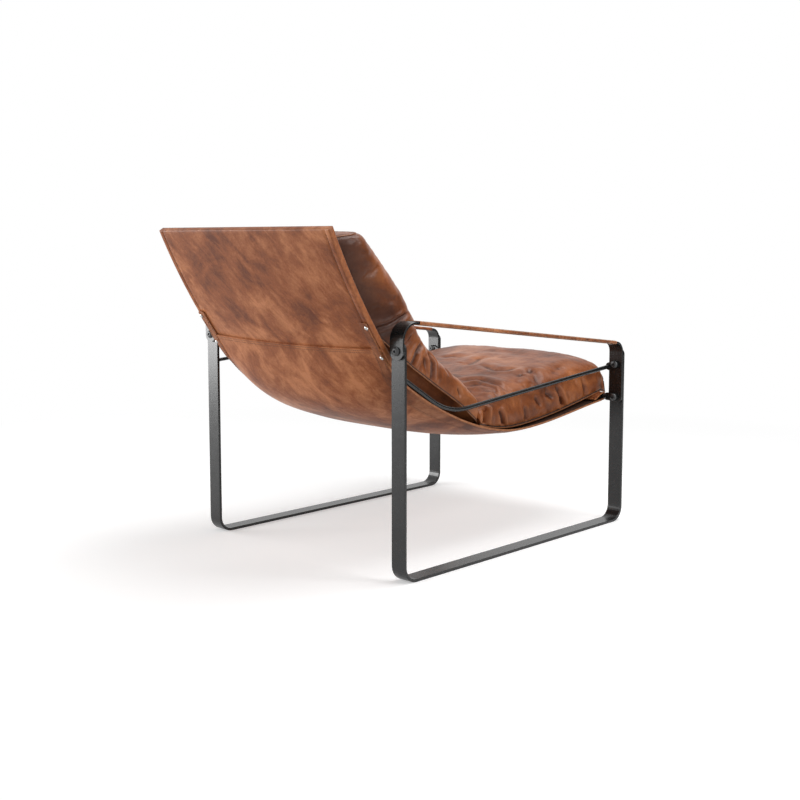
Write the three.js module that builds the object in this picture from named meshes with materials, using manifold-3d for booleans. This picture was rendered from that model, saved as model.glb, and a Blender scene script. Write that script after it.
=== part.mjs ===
// Leather sling lounge chair: two bent flat-bar side frames, a round-bar seat and back frame,
// a hemmed leather sling and a loose two-section leather cushion.
import * as THREE from 'three';
import { mergeVertices } from 'three/addons/utils/BufferGeometryUtils.js';
import Module from 'manifold-3d';

const wasm = await Module();
wasm.setup();

// Driving dimensions in millimetres. The chair faces -Y, +Z is up and the floor is z = 0.
// Heights are above the floor, setbacks are measured forward from the rear face of the rear legs.
const overallWidth = 652;
const frameDepth = 786;
const barWidth = 38;
const legThickness = 6.5;
const armThickness = 5;
const barEdge = 0.8;
const footRadius = 36;

const armRearHeight = 541;
const armFrontHeight = 448;
const armRearRadius = 38;
const armFrontRadius = 28;
const frontLegHeight = 434;
const rearTipClearance = 1.1;
const upperBoltHeight = 392;
const lowerBoltHeight = 310.5;

const wrapThickness = 1.8;
const wrapEndGap = 6;

const boltDiameter = 10;
const boltHeadDiameter = 19;
const boltHeadHeight = 5.5;
const socketAcrossFlats = 6;
const socketDepth = 3;
const nutAcrossFlats = 17;
const nutHexHeight = 7;
const nutDomeHeight = 5;

const railDiameter = 10;
const railLugThickness = 4.5;
const railLugReach = 16;
const railLugDrop = 6;
const railLowSetback = 186;
const railRise = 61;
const railLowRadius = 175;
const railHemRadius = 60;
const railHemRun = 17;

const frontBarDiameter = 12;
const frontLugThickness = 6;
const standoffDiameter = 8;
const standoffHeight = 416.5;

const slingSideClearance = 7;
const backAngle = 31.8;
const backLength = 334;
const backBaseSetback = 20;
const backBaseHeight = 440;
const backBow = 10;
const backBulge = 12;
const hemDepth = 14;
const hemWidth = 16;
const webThickness = 4.5;
const seatThickness = 3.5;
const seatInset = 3.5;
const seamRise = 58;
const earRise = 125;
const earWidth = 20;
const earThickness = 3;
const slingLowSetback = 433;
const slingLowHeight = 268;
const slingSag = 54;
const frontHemRun = 38;

const sewScrewDiameter = 4;
const sewScrewHead = 9;
const sewScrewHeadHeight = 2.2;
const lowerScrewRise = 36;
const upperScrewRise = 112;

const cushionInset = 17;
const cushionDrawIn = 9;
const cushionOverhang = 14;
const cushionTopGap = 8;
const creaseSetback = 306;
const backCushionThickness = 136;
const seatCushionThickness = 104;
const cushionEndThickness = 58;
const cushionCrown = 16;

const seatGap = 0.3;
const softGap = 1;
const weldDistance = 0.001;
const roundSides = 16;
const tubeSides = 12;

// Places that follow from the driving dimensions
const rearFace = frameDepth / 2;
const frontFace = -frameDepth / 2;
const barX = (overallWidth - barWidth) / 2;
const innerEdgeX = overallWidth / 2 - barWidth;
const frontTabRear = frontFace + legThickness + seatGap + armThickness;
const rearTabRear = rearFace + seatGap + armThickness;
const armFrontFace = frontTabRear - armThickness;
const armSlope = Math.atan2(armRearHeight - armFrontHeight, rearTabRear - armFrontFace);

// The rear leg ends just under the arm's bend, and its round tip is centred on the rear bolt
const rearBendDrop = armRearRadius * Math.tan((Math.PI / 2 + armSlope) / 2);
const rearBoltHeight = armRearHeight - rearBendDrop - rearTipClearance - barWidth / 2;
const slingWidth = overallWidth - 2 * barWidth - 2 * slingSideClearance;
const cushionWidth = slingWidth - 2 * cushionInset;
const railX = (slingWidth - hemWidth) / 2;
const railLowHeight = slingLowHeight + railRise;
const seatHalf = slingWidth / 2 - seatInset;
const frontBarY = frontTabRear + seatGap + frontLugThickness / 2 + frontBarDiameter / 4;
const lean = THREE.MathUtils.degToRad(backAngle);

// The leaning plane of the back: x across, y out of the rear face, z up the back,
// with its origin on the axis of the side rails where they enter the hems.
const upBack = new THREE.Vector3(0, Math.sin(lean), Math.cos(lean));
const outBack = new THREE.Vector3(0, Math.cos(lean), -Math.sin(lean));
const backPlane = new THREE.Matrix4()
  .makeBasis(new THREE.Vector3(1, 0, 0), outBack, upBack)
  .setPosition(0, rearFace - backBaseSetback, backBaseHeight);
// The rails and the leather of the back are bowed to the rear, most at the middle of their rise
function bowAt(rise) {
  const fromMiddle = (2 * rise) / backLength - 1;
  return backBow * (1 - fromMiddle * fromMiddle);
}

function onBack(x, out, rise) {
  return new THREE.Vector3(x, out + bowAt(rise), rise).applyMatrix4(backPlane);
}

function bendToBack(geometry) {
  const place = geometry.attributes.position;
  for (let i = 0; i < place.count; i += 1) {
    const p = onBack(place.getX(i), place.getY(i), place.getZ(i));
    place.setXYZ(i, p.x, p.y, p.z);
  }
  return geometry;
}

// A small part set square to the bowed leather, its own Y axis out of the rear face
function setOnBack(geometry, x, out, rise) {
  const slope = (bowAt(rise + 1) - bowAt(rise - 1)) / 2;
  geometry.rotateX(-Math.atan(slope)).translate(x, out + bowAt(rise), rise);
  return geometry.applyMatrix4(backPlane);
}

const alongX = new THREE.Matrix4().makeBasis(
  new THREE.Vector3(0, 1, 0),
  new THREE.Vector3(0, 0, 1),
  new THREE.Vector3(1, 0, 0),
);
const alongY = new THREE.Matrix4().makeBasis(
  new THREE.Vector3(1, 0, 0),
  new THREE.Vector3(0, 0, 1),
  new THREE.Vector3(0, -1, 0),
);

const steel = { color: 0x3a3c3e, roughness: 0.45, metalness: 0.85 };
const boltSteel = { color: 0x46484a, roughness: 0.35, metalness: 0.9 };
const bright = { color: 0xd8d9da, roughness: 0.18, metalness: 1 };
const leather = { color: 0x8a4f2e, roughness: 0.5, metalness: 0 };
const cushionLeather = { color: 0x7a4024, roughness: 0.42, metalness: 0 };

const chair = new THREE.Group();
chair.name = 'sling_lounge_chair';

function addPiece(name, geometry, finish) {
  const mesh = new THREE.Mesh(geometry, new THREE.MeshStandardMaterial(finish));
  mesh.name = name;
  chair.add(mesh);
}

// Closed geometry to a solid that can be joined or cut, and back again
function solidOf(geometry) {
  const bare = geometry.clone();
  bare.deleteAttribute('normal');
  bare.deleteAttribute('uv');
  const welded = mergeVertices(bare, weldDistance);
  const vertProperties = new Float32Array(welded.attributes.position.array);
  const corners = welded.index.array;
  const kept = [];
  for (let i = 0; i < corners.length; i += 3) {
    const [a, b, c] = [corners[i], corners[i + 1], corners[i + 2]];
    if (a !== b && b !== c && c !== a) {
      kept.push(a, b, c);
    }
  }
  const triVerts = new Uint32Array(kept);
  return new wasm.Manifold(new wasm.Mesh({ numProp: 3, vertProperties, triVerts }));
}

function geometryOf(solid) {
  const mesh = solid.getMesh();
  const geometry = new THREE.BufferGeometry();
  geometry.setAttribute('position', new THREE.BufferAttribute(mesh.vertProperties, 3));
  geometry.setIndex(new THREE.BufferAttribute(mesh.triVerts, 1));
  geometry.computeVertexNormals();
  return geometry;
}

// A run of straight stretches with an arc of the given radius at each inner corner
function roundCorners(corners, radii, arcSteps) {
  const path = [corners[0].clone()];
  for (let i = 1; i < corners.length - 1; i += 1) {
    const radius = radii[i - 1];
    const arriving = corners[i].clone().sub(corners[i - 1]).normalize();
    const leaving = corners[i + 1].clone().sub(corners[i]).normalize();
    const turn = arriving.angleTo(leaving);
    const inward = leaving.clone().sub(arriving).normalize();
    const centre = corners[i].clone().addScaledVector(inward, radius / Math.cos(turn / 2));
    const start = corners[i].clone().addScaledVector(arriving, -radius * Math.tan(turn / 2));
    const spoke = start.clone().sub(centre);
    for (let k = 0; k <= arcSteps; k += 1) {
      const angle = (turn * k) / arcSteps;
      const point = centre.clone().addScaledVector(spoke, Math.cos(angle));
      path.push(point.addScaledVector(arriving, radius * Math.sin(angle)));
    }
  }
  path.push(corners[corners.length - 1].clone());
  return path;
}

// A flat bar seen on edge, bent round its corners, as an outline in the plane of depth and height
function bentBarShape(corners, radii, thickness, arcSteps) {
  const inner = corners.map((corner, i) => {
    const before = corners[Math.max(i - 1, 0)];
    const after = corners[Math.min(i + 1, corners.length - 1)];
    const arriving = (i === 0 ? after.clone().sub(corner) : corner.clone().sub(before)).normalize();
    const leaving = (i === corners.length - 1 ? arriving.clone() : after.clone().sub(corner)).normalize();
    const half = arriving.angleTo(leaving) / 2;
    const across = arriving.clone().add(leaving).normalize();
    const inward = new THREE.Vector3(-across.y, across.x, 0);
    return corner.clone().addScaledVector(inward, thickness / Math.cos(half));
  });
  const innerRadii = radii.map((radius) => radius - thickness);
  const outside = roundCorners(corners, radii, arcSteps);
  const inside = roundCorners(inner, innerRadii, arcSteps).reverse();
  return new THREE.Shape([...outside, ...inside].map((p) => new THREE.Vector2(p.x, p.y)));
}

function extrudeAcross(shape, width, centreX, edge) {
  const geometry = new THREE.ExtrudeGeometry(shape, {
    depth: width - 2 * edge,
    bevelEnabled: edge > 0,
    bevelThickness: edge,
    bevelSize: edge,
    bevelOffset: -edge,
    bevelSegments: 1,
  });
  geometry.translate(0, 0, edge - width / 2);
  return geometry.applyMatrix4(alongX).translate(centreX, 0, 0);
}

// A block that keeps a flat bar's tip round: a half circle at tipZ and open to farZ
function roundTip(centreX, tipZ, farZ, yLow, yHigh) {
  const up = Math.sign(tipZ - farZ);
  const radius = barWidth / 2;
  const wide = barWidth;
  const outline = [new THREE.Vector2(-wide, farZ), new THREE.Vector2(wide, farZ), new THREE.Vector2(wide, tipZ)];
  for (let k = 0; k <= roundSides; k += 1) {
    const angle = (Math.PI * k) / roundSides;
    outline.push(new THREE.Vector2(radius * Math.cos(angle), tipZ + up * radius * Math.sin(angle)));
  }
  outline.push(new THREE.Vector2(-wide, tipZ));
  const geometry = new THREE.ExtrudeGeometry(new THREE.Shape(outline), { depth: yHigh - yLow, bevelEnabled: false });
  return solidOf(geometry.applyMatrix4(alongY).translate(centreX, yHigh, 0));
}

function drill(x, z, yLow, yHigh, diameter) {
  const geometry = new THREE.CylinderGeometry(diameter / 2, diameter / 2, yHigh - yLow, roundSides);
  return solidOf(geometry.translate(x, (yLow + yHigh) / 2, z));
}

// Stations that a tube passes through, one ring at each
class Route extends THREE.Curve {
  constructor(stations) {
    super();
    this.stations = stations;
  }

  getPointAt(u) {
    return this.stations[Math.round(u * (this.stations.length - 1))].clone();
  }

  getTangentAt(u) {
    const i = Math.round(u * (this.stations.length - 1));
    const before = this.stations[Math.max(i - 1, 0)];
    const after = this.stations[Math.min(i + 1, this.stations.length - 1)];
    return after.clone().sub(before).normalize();
  }
}

function tube(stations, diameter) {
  const circle = new THREE.Shape().absarc(0, 0, diameter / 2, 0, 2 * Math.PI, false);
  return new THREE.ExtrudeGeometry(circle, {
    steps: stations.length - 1,
    curveSegments: tubeSides / 2,
    extrudePath: new Route(stations),
  });
}

// A flat lug with round ends between two points of the plane of width and height, at depth yFront
function lug(from, to, radius, yFront, thickness) {
  const length = from.distanceTo(to);
  const shape = new THREE.Shape();
  shape.absarc(0, 0, radius, Math.PI / 2, (3 * Math.PI) / 2, false);
  shape.absarc(length, 0, radius, -Math.PI / 2, Math.PI / 2, false);
  const geometry = new THREE.ExtrudeGeometry(shape, { depth: thickness, bevelEnabled: false, curveSegments: 8 });
  geometry.rotateZ(Math.atan2(to.y - from.y, to.x - from.x));
  geometry.applyMatrix4(alongY).translate(from.x, yFront + thickness, from.y);
  return solidOf(geometry);
}

// Leg frame: one flat bar bent into a rear leg, a floor skid and a front leg
function legFrame(side) {
  const x = side * barX;
  const corners = [
    new THREE.Vector3(rearFace, rearBoltHeight + barWidth / 2, 0),
    new THREE.Vector3(rearFace, 0, 0),
    new THREE.Vector3(frontFace, 0, 0),
    new THREE.Vector3(frontFace, frontLegHeight, 0),
  ];
  const shape = bentBarShape(corners.reverse(), [footRadius, footRadius], legThickness, 10);
  const tips = roundTip(x, rearBoltHeight, -barWidth, -barWidth, rearFace + barWidth).add(
    roundTip(x, frontLegHeight - barWidth / 2, -barWidth, frontFace - barWidth, barWidth),
  );
  let solid = solidOf(extrudeAcross(shape, barWidth, x, barEdge)).intersect(tips);
  const hole = boltDiameter + 2 * seatGap;
  solid = solid.subtract(drill(x, rearBoltHeight, rearFace - barWidth, rearFace + barWidth, hole));
  solid = solid.subtract(drill(x, upperBoltHeight, frontFace - barWidth, frontFace + barWidth, hole));
  solid = solid.subtract(drill(x, lowerBoltHeight, frontFace - barWidth, frontFace + barWidth, hole));
  return geometryOf(solid);
}

// Arm bar: its rear end laps the rear leg's outer face, its front end the front leg's inner face
function armBar(side) {
  const x = side * barX;
  const corners = [
    new THREE.Vector3(rearTabRear, rearBoltHeight - barWidth / 2, 0),
    new THREE.Vector3(rearTabRear, armRearHeight, 0),
    new THREE.Vector3(armFrontFace, armFrontHeight, 0),
    new THREE.Vector3(armFrontFace, lowerBoltHeight - barWidth / 2, 0),
  ];
  const shape = bentBarShape(corners, [armRearRadius, armFrontRadius], armThickness, 10);
  const above = armRearHeight + barWidth;
  const tips = roundTip(x, rearBoltHeight, above, 0, rearTabRear + barWidth).add(
    roundTip(x, lowerBoltHeight, above, frontFace - barWidth, barWidth),
  );
  let solid = solidOf(extrudeAcross(shape, barWidth, x, barEdge)).intersect(tips);
  const hole = boltDiameter + 2 * seatGap;
  solid = solid.subtract(drill(x, rearBoltHeight, rearFace - barWidth, rearFace + barWidth, hole));
  solid = solid.subtract(drill(x, upperBoltHeight, frontFace - barWidth, frontFace + barWidth, hole));
  solid = solid.subtract(drill(x, lowerBoltHeight, frontFace - barWidth, frontFace + barWidth, hole));
  return geometryOf(solid);
}

// Leather wrap: a sleeve round the straight stretch of the arm bar
function armWrap(side) {
  const rearStart = rearTabRear - rearBendDrop - wrapEndGap;
  const frontStart = armFrontFace + armFrontRadius * Math.tan((Math.PI / 2 - armSlope) / 2) + wrapEndGap;
  const length = (rearStart - frontStart) / Math.cos(armSlope);
  const halfWidth = barWidth / 2 + seatGap;
  const halfHeight = armThickness / 2 + seatGap;
  const sleeve = new THREE.Shape();
  const outerWidth = halfWidth + wrapThickness;
  const outerHeight = halfHeight + wrapThickness;
  sleeve.absarc(outerWidth - outerHeight, 0, outerHeight, -Math.PI / 2, Math.PI / 2, false);
  sleeve.absarc(outerHeight - outerWidth, 0, outerHeight, Math.PI / 2, (3 * Math.PI) / 2, false);
  const slot = new THREE.Path();
  slot.moveTo(-halfWidth, -halfHeight);
  slot.lineTo(-halfWidth, halfHeight);
  slot.lineTo(halfWidth, halfHeight);
  slot.lineTo(halfWidth, -halfHeight);
  sleeve.holes.push(slot);
  const geometry = new THREE.ExtrudeGeometry(sleeve, { depth: length, bevelEnabled: false, curveSegments: 6 });
  geometry.applyMatrix4(alongY).rotateX(armSlope);
  const midBarDrop = armThickness / 2 / Math.cos(armSlope);
  const rearTop = armRearHeight - (rearTabRear - rearStart) * Math.tan(armSlope);
  return geometry.translate(side * barX, rearStart, rearTop - midBarDrop);
}

// Button-head bolt with a hex socket, its head towards +Y and its tip buried in a cap nut
function buttonBolt(grip) {
  const headRadius = boltHeadDiameter / 2;
  const shankRadius = boltDiameter / 2;
  const tip = grip + nutHexHeight;
  const profile = [
    new THREE.Vector2(0, -tip),
    new THREE.Vector2(shankRadius, -tip),
    new THREE.Vector2(shankRadius, 0),
    new THREE.Vector2(headRadius, 0),
    new THREE.Vector2(headRadius, boltHeadHeight * 0.25),
    new THREE.Vector2(headRadius * 0.86, boltHeadHeight * 0.68),
    new THREE.Vector2(headRadius * 0.6, boltHeadHeight * 0.94),
    new THREE.Vector2(headRadius * 0.42, boltHeadHeight),
    new THREE.Vector2(0, boltHeadHeight),
  ];
  const socketRadius = socketAcrossFlats / Math.sqrt(3);
  const socket = new THREE.CylinderGeometry(socketRadius, socketRadius, 2 * socketDepth, 6);
  socket.translate(0, boltHeadHeight, 0);
  return solidOf(new THREE.LatheGeometry(profile, roundSides)).subtract(solidOf(socket));
}

function capNut() {
  const hexRadius = nutAcrossFlats / Math.sqrt(3);
  const domeRadius = nutAcrossFlats * 0.44;
  const hex = new THREE.CylinderGeometry(hexRadius, hexRadius, nutHexHeight, 6).translate(0, -nutHexHeight / 2, 0);
  const dome = [new THREE.Vector2(0, -nutHexHeight / 2), new THREE.Vector2(domeRadius, -nutHexHeight / 2)];
  for (let k = 0; k <= 4; k += 1) {
    const angle = (Math.PI / 2 / 4) * k;
    const radius = k === 4 ? 0 : domeRadius * Math.cos(angle);
    dome.push(new THREE.Vector2(radius, -nutHexHeight - nutDomeHeight * Math.sin(angle)));
  }
  const bore = boltDiameter + 2 * seatGap;
  const hollow = drill(0, 0, -nutHexHeight - 2 * seatGap, nutHexHeight, bore);
  const turned = new THREE.LatheGeometry(dome.reverse(), roundSides);
  return solidOf(hex).add(solidOf(turned)).subtract(hollow);
}

function addFastener(name, side, height, underHead, grip) {
  const x = side * barX;
  addPiece(`${name}_bolt`, geometryOf(buttonBolt(grip)).translate(x, underHead, height), boltSteel);
  addPiece(`${name}_nut`, geometryOf(capNut()).translate(x, underHead - grip, height), boltSteel);
}

// Side rail: a lug behind the front leg, a straight fall to the rear, a rise, and a run up the hem
const topRailRise = backLength - hemDepth / 2;
const railTopRise = topRailRise - railDiameter / 2 - seatGap;
const hemSteps = 9;

// Points up the middle of a hem, from just under it to the given rise
function hemStations(side, topRise) {
  const stations = [];
  for (let k = 0; k <= hemSteps; k += 1) {
    stations.push(onBack(side * railX, 0, THREE.MathUtils.lerp(-railHemRun, topRise, k / hemSteps)));
  }
  return stations;
}

function railStations(side) {
  const hem = hemStations(side, railTopRise);
  const hemStart = hem[0];
  const lugX = side * (barX - railLugReach);
  const lugY = frontTabRear + seatGap + railLugThickness / 2;
  const front = new THREE.Vector3(lugX, lugY, upperBoltHeight - railLugDrop);
  const low = new THREE.Vector3(0, rearFace - railLowSetback, railLowHeight);
  const share = (low.y - front.y) / (hemStart.y - front.y);
  low.x = THREE.MathUtils.lerp(front.x, hemStart.x, share);
  const bent = roundCorners([front, low, hemStart, hem[1]], [railLowRadius, railHemRadius], 8);
  return [...bent, ...hem.slice(2)];
}

function sideRail(side) {
  const boltPoint = new THREE.Vector2(side * barX, upperBoltHeight);
  const railPoint = new THREE.Vector2(side * (barX - railLugReach), upperBoltHeight - railLugDrop);
  const flat = lug(boltPoint, railPoint, boltHeadDiameter / 2, frontTabRear + seatGap, railLugThickness);
  const bore = drill(boltPoint.x, boltPoint.y, frontFace, 0, boltDiameter + 2 * seatGap);
  return geometryOf(solidOf(tube(railStations(side), railDiameter)).add(flat).subtract(bore));
}

function topRail() {
  const half = railX + railDiameter / 2;
  const ends = [-half, half].map((x) => onBack(x, 0, topRailRise));
  return tube(ends, railDiameter);
}

// Standoff: a short round bar from the rear leg's front face, its end beside the rail
function standoff(side) {
  const rail = railStations(side);
  const seat = rail.reduce((best, p) => {
    const nearer = Math.abs(p.z - standoffHeight) < Math.abs(best.z - standoffHeight);
    return nearer ? p : best;
  });
  const legY = rearFace - legThickness - seatGap;
  const from = new THREE.Vector3(side * (innerEdgeX + standoffDiameter * 0.75), legY + 1, standoffHeight);
  const to = seat.clone();
  to.x += side * ((railDiameter + standoffDiameter) / 2 + seatGap);
  const solid = solidOf(tube([from, to], standoffDiameter));
  const leg = new THREE.BoxGeometry(overallWidth + barWidth, barWidth, 2 * barWidth);
  leg.translate(0, legY + barWidth / 2, standoffHeight);
  return geometryOf(solid.subtract(solidOf(leg)));
}

// Front bar: a round bar through the sling's front hem with flattened ends under the lower bolts
function frontBar() {
  const half = innerEdgeX - seatGap;
  const ends = [-half, half].map((x) => new THREE.Vector3(x, frontBarY, lowerBoltHeight));
  let solid = solidOf(tube(ends, frontBarDiameter));
  for (const side of [-1, 1]) {
    const boltPoint = new THREE.Vector2(side * barX, lowerBoltHeight);
    const rootPoint = new THREE.Vector2(side * (seatHalf + boltHeadDiameter / 2 + softGap), lowerBoltHeight);
    solid = solid.add(lug(boltPoint, rootPoint, boltHeadDiameter / 2, frontTabRear + seatGap, frontLugThickness));
    solid = solid.subtract(drill(boltPoint.x, boltPoint.y, frontFace, 0, boltDiameter + 2 * seatGap));
  }
  return geometryOf(solid);
}

// Points of the bowed back as depth and height
function backPoint(out, rise) {
  const p = onBack(0, out, rise);
  return new THREE.Vector2(p.y, p.z);
}

function bezier(from, handle, otherHandle, to, steps) {
  return new THREE.CubicBezierCurve(from, handle, otherHandle, to).getPoints(steps);
}

// The upper face of the seat panel, seen from the side: lap on the back panel, hanging curve,
// turn round the front bar and the short flap that is sewn down behind it
const lapOut = hemDepth / 2 + seatGap;
const slingLow = new THREE.Vector2(rearFace - slingLowSetback, slingLowHeight);
const frontLoop = frontBarDiameter / 2 + seatGap;
const frontTangent = new THREE.Vector2(1, -0.1);
const downBack = new THREE.Vector2(-upBack.y, -upBack.z);

function seatPanelLine() {
  const lapEnd = backPoint(lapOut, 0);
  const lap = [seamRise, seamRise / 2].map((rise) => backPoint(lapOut, rise));
  const rearSpan = lapEnd.y - slingLow.y;
  const rearHandle = new THREE.Vector2(slingLow.x + rearSpan * 1.05, slingLow.y);
  const rear = bezier(lapEnd, backPoint(lapOut, -50), rearHandle, slingLow, 12);
  const loopLow = new THREE.Vector2(frontBarY, lowerBoltHeight - frontLoop);
  const frontSpan = (slingLow.x - loopLow.x) / 3;
  const frontHandle = new THREE.Vector2(slingLow.x - frontSpan, slingLow.y);
  const loopHandle = loopLow.clone().addScaledVector(frontTangent, frontSpan);
  const front = bezier(slingLow, frontHandle, loopHandle, loopLow, 9);
  const loop = [];
  for (let k = 1; k < 8; k += 1) {
    const angle = -Math.PI / 2 - (Math.PI * k) / 8;
    loop.push(new THREE.Vector2(frontBarY + frontLoop * Math.cos(angle), lowerBoltHeight + frontLoop * Math.sin(angle)));
  }
  const loopTop = new THREE.Vector2(frontBarY, lowerBoltHeight + frontLoop);
  const flapEnd = loopLow.clone().addScaledVector(frontTangent, frontHemRun);
  flapEnd.y += 2.5;
  const flapHandle = new THREE.Vector2(frontBarY + frontHemRun * 0.4, loopTop.y);
  const flapRest = flapEnd.clone().addScaledVector(frontTangent, -frontHemRun * 0.4);
  const flap = bezier(loopTop, flapHandle, flapRest, flapEnd, 5);
  const hanging = [...lap, ...rear, ...front.slice(1)];
  const lengths = lengthsAlong(hanging);
  const total = lengths[lengths.length - 1];
  const line = [...hanging, ...loop, ...flap];
  const shares = line.map((p, r) => (r < hanging.length ? lengths[r] / total : 1));
  return { line, shares, total };
}

function lengthsAlong(line) {
  const lengths = [0];
  for (let i = 1; i < line.length; i += 1) {
    lengths.push(lengths[i - 1] + line[i].distanceTo(line[i - 1]));
  }
  return lengths;
}

// How far the leather bulges in the middle of its width: up the back, and along the hanging part
// where the share runs from 0 at the seam to 1 at the front bar
function bulgeAt(rise) {
  const share = 1 - rise / (backLength - hemDepth);
  return backBulge * Math.max(share, 0) ** 1.3;
}

const sagShape = [bulgeAt(seamRise) / slingSag, 1, 0.81, 0.5, 0.31, 0.14, 0];
const sagCurve = new THREE.SplineCurve(sagShape.map((sag, i) => new THREE.Vector2(i, sag * slingSag)));

function sagAt(share) {
  return sagCurve.getPoint(THREE.MathUtils.clamp(share, 0, 1)).y;
}

// The hanging part is flat-bottomed across, where the back is evenly round
function sagAcross(share, across) {
  const power = 2 + 2 * THREE.MathUtils.smoothstep(share, 0, 0.12);
  return sagAt(share) * (1 - Math.abs(across) ** power);
}

function outwardAt(line, i) {
  const before = line[Math.max(i - 1, 0)];
  const after = line[Math.min(i + 1, line.length - 1)];
  const along = after.clone().sub(before).normalize();
  return new THREE.Vector2(-along.y, along.x);
}

// A closed sheet between two grids of points with the same rows and columns
function closedSheet(upper, lower) {
  const rows = upper.length;
  const columns = upper[0].length;
  const points = [...upper.flat(), ...lower.flat()];
  const at = (layer, r, c) => layer * rows * columns + r * columns + c;
  const index = [];
  const quad = (a, b, c, d) => index.push(a, b, c, a, c, d);
  for (let r = 0; r < rows - 1; r += 1) {
    for (let c = 0; c < columns - 1; c += 1) {
      quad(at(0, r, c), at(0, r + 1, c), at(0, r + 1, c + 1), at(0, r, c + 1));
      quad(at(1, r, c), at(1, r, c + 1), at(1, r + 1, c + 1), at(1, r + 1, c));
    }
    quad(at(0, r, 0), at(1, r, 0), at(1, r + 1, 0), at(0, r + 1, 0));
    quad(at(0, r + 1, columns - 1), at(1, r + 1, columns - 1), at(1, r, columns - 1), at(0, r, columns - 1));
  }
  for (let c = 0; c < columns - 1; c += 1) {
    quad(at(0, 0, c + 1), at(1, 0, c + 1), at(1, 0, c), at(0, 0, c));
    quad(at(0, rows - 1, c), at(1, rows - 1, c), at(1, rows - 1, c + 1), at(0, rows - 1, c + 1));
  }
  const geometry = new THREE.BufferGeometry().setFromPoints(points);
  geometry.setIndex(index);
  geometry.computeVertexNormals();
  return geometry;
}

function screwHole(side, rise) {
  const shaft = new THREE.CylinderGeometry(sewScrewDiameter / 2 + seatGap, sewScrewDiameter / 2 + seatGap, hemDepth, 10);
  return solidOf(setOnBack(shaft, side * railX, hemDepth * 0.75, rise));
}

function cutScrewHoles(solid) {
  let cut = solid;
  for (const side of [-1, 1]) {
    cut = cut.subtract(screwHole(side, lowerScrewRise)).subtract(screwHole(side, upperScrewRise));
  }
  return cut;
}

// Seat panel: the hanging sheet with its front hem, and two ears that lap the back panel's hems
function seatPanel() {
  const { line, shares } = seatPanelLine();
  const columns = 11;
  const upper = [];
  const lower = [];
  line.forEach((p, r) => {
    const outward = outwardAt(line, r);
    const above = [];
    const below = [];
    for (let c = 0; c < columns; c += 1) {
      const across = (2 * c) / (columns - 1) - 1;
      const sag = sagAcross(shares[r], across);
      const face = p.clone().addScaledVector(outward, sag);
      const back = p.clone().addScaledVector(outward, sag + seatThickness);
      above.push(new THREE.Vector3(across * seatHalf, face.x, face.y));
      below.push(new THREE.Vector3(across * seatHalf, back.x, back.y));
    }
    upper.push(above);
    lower.push(below);
  });
  let solid = solidOf(closedSheet(upper, lower));
  for (const side of [-1, 1]) {
    const ear = new THREE.BoxGeometry(earWidth, earThickness, earRise - seamRise / 2, 1, 1, 4);
    const earX = side * (seatHalf - earWidth / 2 - seatGap);
    ear.translate(earX, lapOut + earThickness / 2, (earRise + seamRise / 2) / 2);
    solid = solid.add(solidOf(bendToBack(ear)));
  }
  return geometryOf(cutScrewHoles(solid));
}

// Back panel: a bulging sheet between two side hems and a top hem, bored through for the rails
function backPanel() {
  const half = slingWidth / 2;
  const depth = hemDepth / 2;
  const webHalf = seatHalf - earWidth - softGap;
  const webEnd = half - hemWidth / 4;
  const { total } = seatPanelLine();
  const webBulge = (rise) => {
    const underLap = rise < seamRise ? sagAt((seamRise - rise) / total) - bulgeAt(seamRise) : 0;
    return rise < seamRise ? bulgeAt(seamRise) + 0.85 * underLap : bulgeAt(rise);
  };
  const rises = [0, seamRise / 2];
  for (let k = 0; k <= 6; k += 1) {
    rises.push(THREE.MathUtils.lerp(seamRise, topRailRise, k / 6));
  }
  const rowAt = (out, rise) => {
    const row = [onBack(-webEnd, out, rise)];
    for (let c = -5; c <= 5; c += 1) {
      const across = c / 5;
      row.push(onBack(across * webHalf, out + webBulge(rise) * (1 - across * across), rise));
    }
    row.push(onBack(webEnd, out, rise));
    return row;
  };
  const grid = (out) => rises.map((rise) => rowAt(out, rise));
  let solid = solidOf(closedSheet(grid(depth), grid(depth - webThickness)));
  for (const side of [-1, 1]) {
    const hem = new THREE.BoxGeometry(hemWidth, hemDepth, backLength, 1, 1, hemSteps);
    solid = solid.add(solidOf(bendToBack(hem.translate(side * (half - hemWidth / 2), 0, backLength / 2))));
  }
  const topHem = new THREE.BoxGeometry(slingWidth, hemDepth, hemDepth).translate(0, 0, backLength - depth);
  solid = solid.add(solidOf(bendToBack(topHem)));
  const bore = railDiameter + 2 * seatGap;
  for (const side of [-1, 1]) {
    solid = solid.subtract(solidOf(tube(hemStations(side, topRailRise), bore)));
  }
  const reach = railX + railDiameter / 2 + seatGap;
  solid = solid.subtract(solidOf(tube([onBack(-reach, 0, topRailRise), onBack(reach, 0, topRailRise)], bore)));
  return geometryOf(cutScrewHoles(solid));
}

// Bright dome-head screw through an ear and the rear wall of the hem
function slingScrew(side, rise) {
  const shank = earThickness + hemDepth / 2 - railDiameter / 2 - seatGap;
  const profile = [
    new THREE.Vector2(0, -shank),
    new THREE.Vector2(sewScrewDiameter / 2, -shank),
    new THREE.Vector2(sewScrewDiameter / 2, 0),
    new THREE.Vector2(sewScrewHead / 2, 0),
    new THREE.Vector2(sewScrewHead / 2, sewScrewHeadHeight * 0.3),
    new THREE.Vector2(sewScrewHead * 0.32, sewScrewHeadHeight * 0.85),
    new THREE.Vector2(0, sewScrewHeadHeight),
  ];
  const onLap = rise < seamRise;
  const headInner = (railX - sewScrewHead / 2) / seatHalf;
  const lapTop = seatThickness + sagAcross((seamRise - rise) / seatPanelLine().total, headInner);
  const seat = lapOut + (onLap ? Math.max(lapTop, earThickness) : earThickness) + seatGap;
  const geometry = geometryOf(solidOf(new THREE.LatheGeometry(profile, 12)));
  return setOnBack(geometry, side * railX, seat, rise);
}

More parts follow.
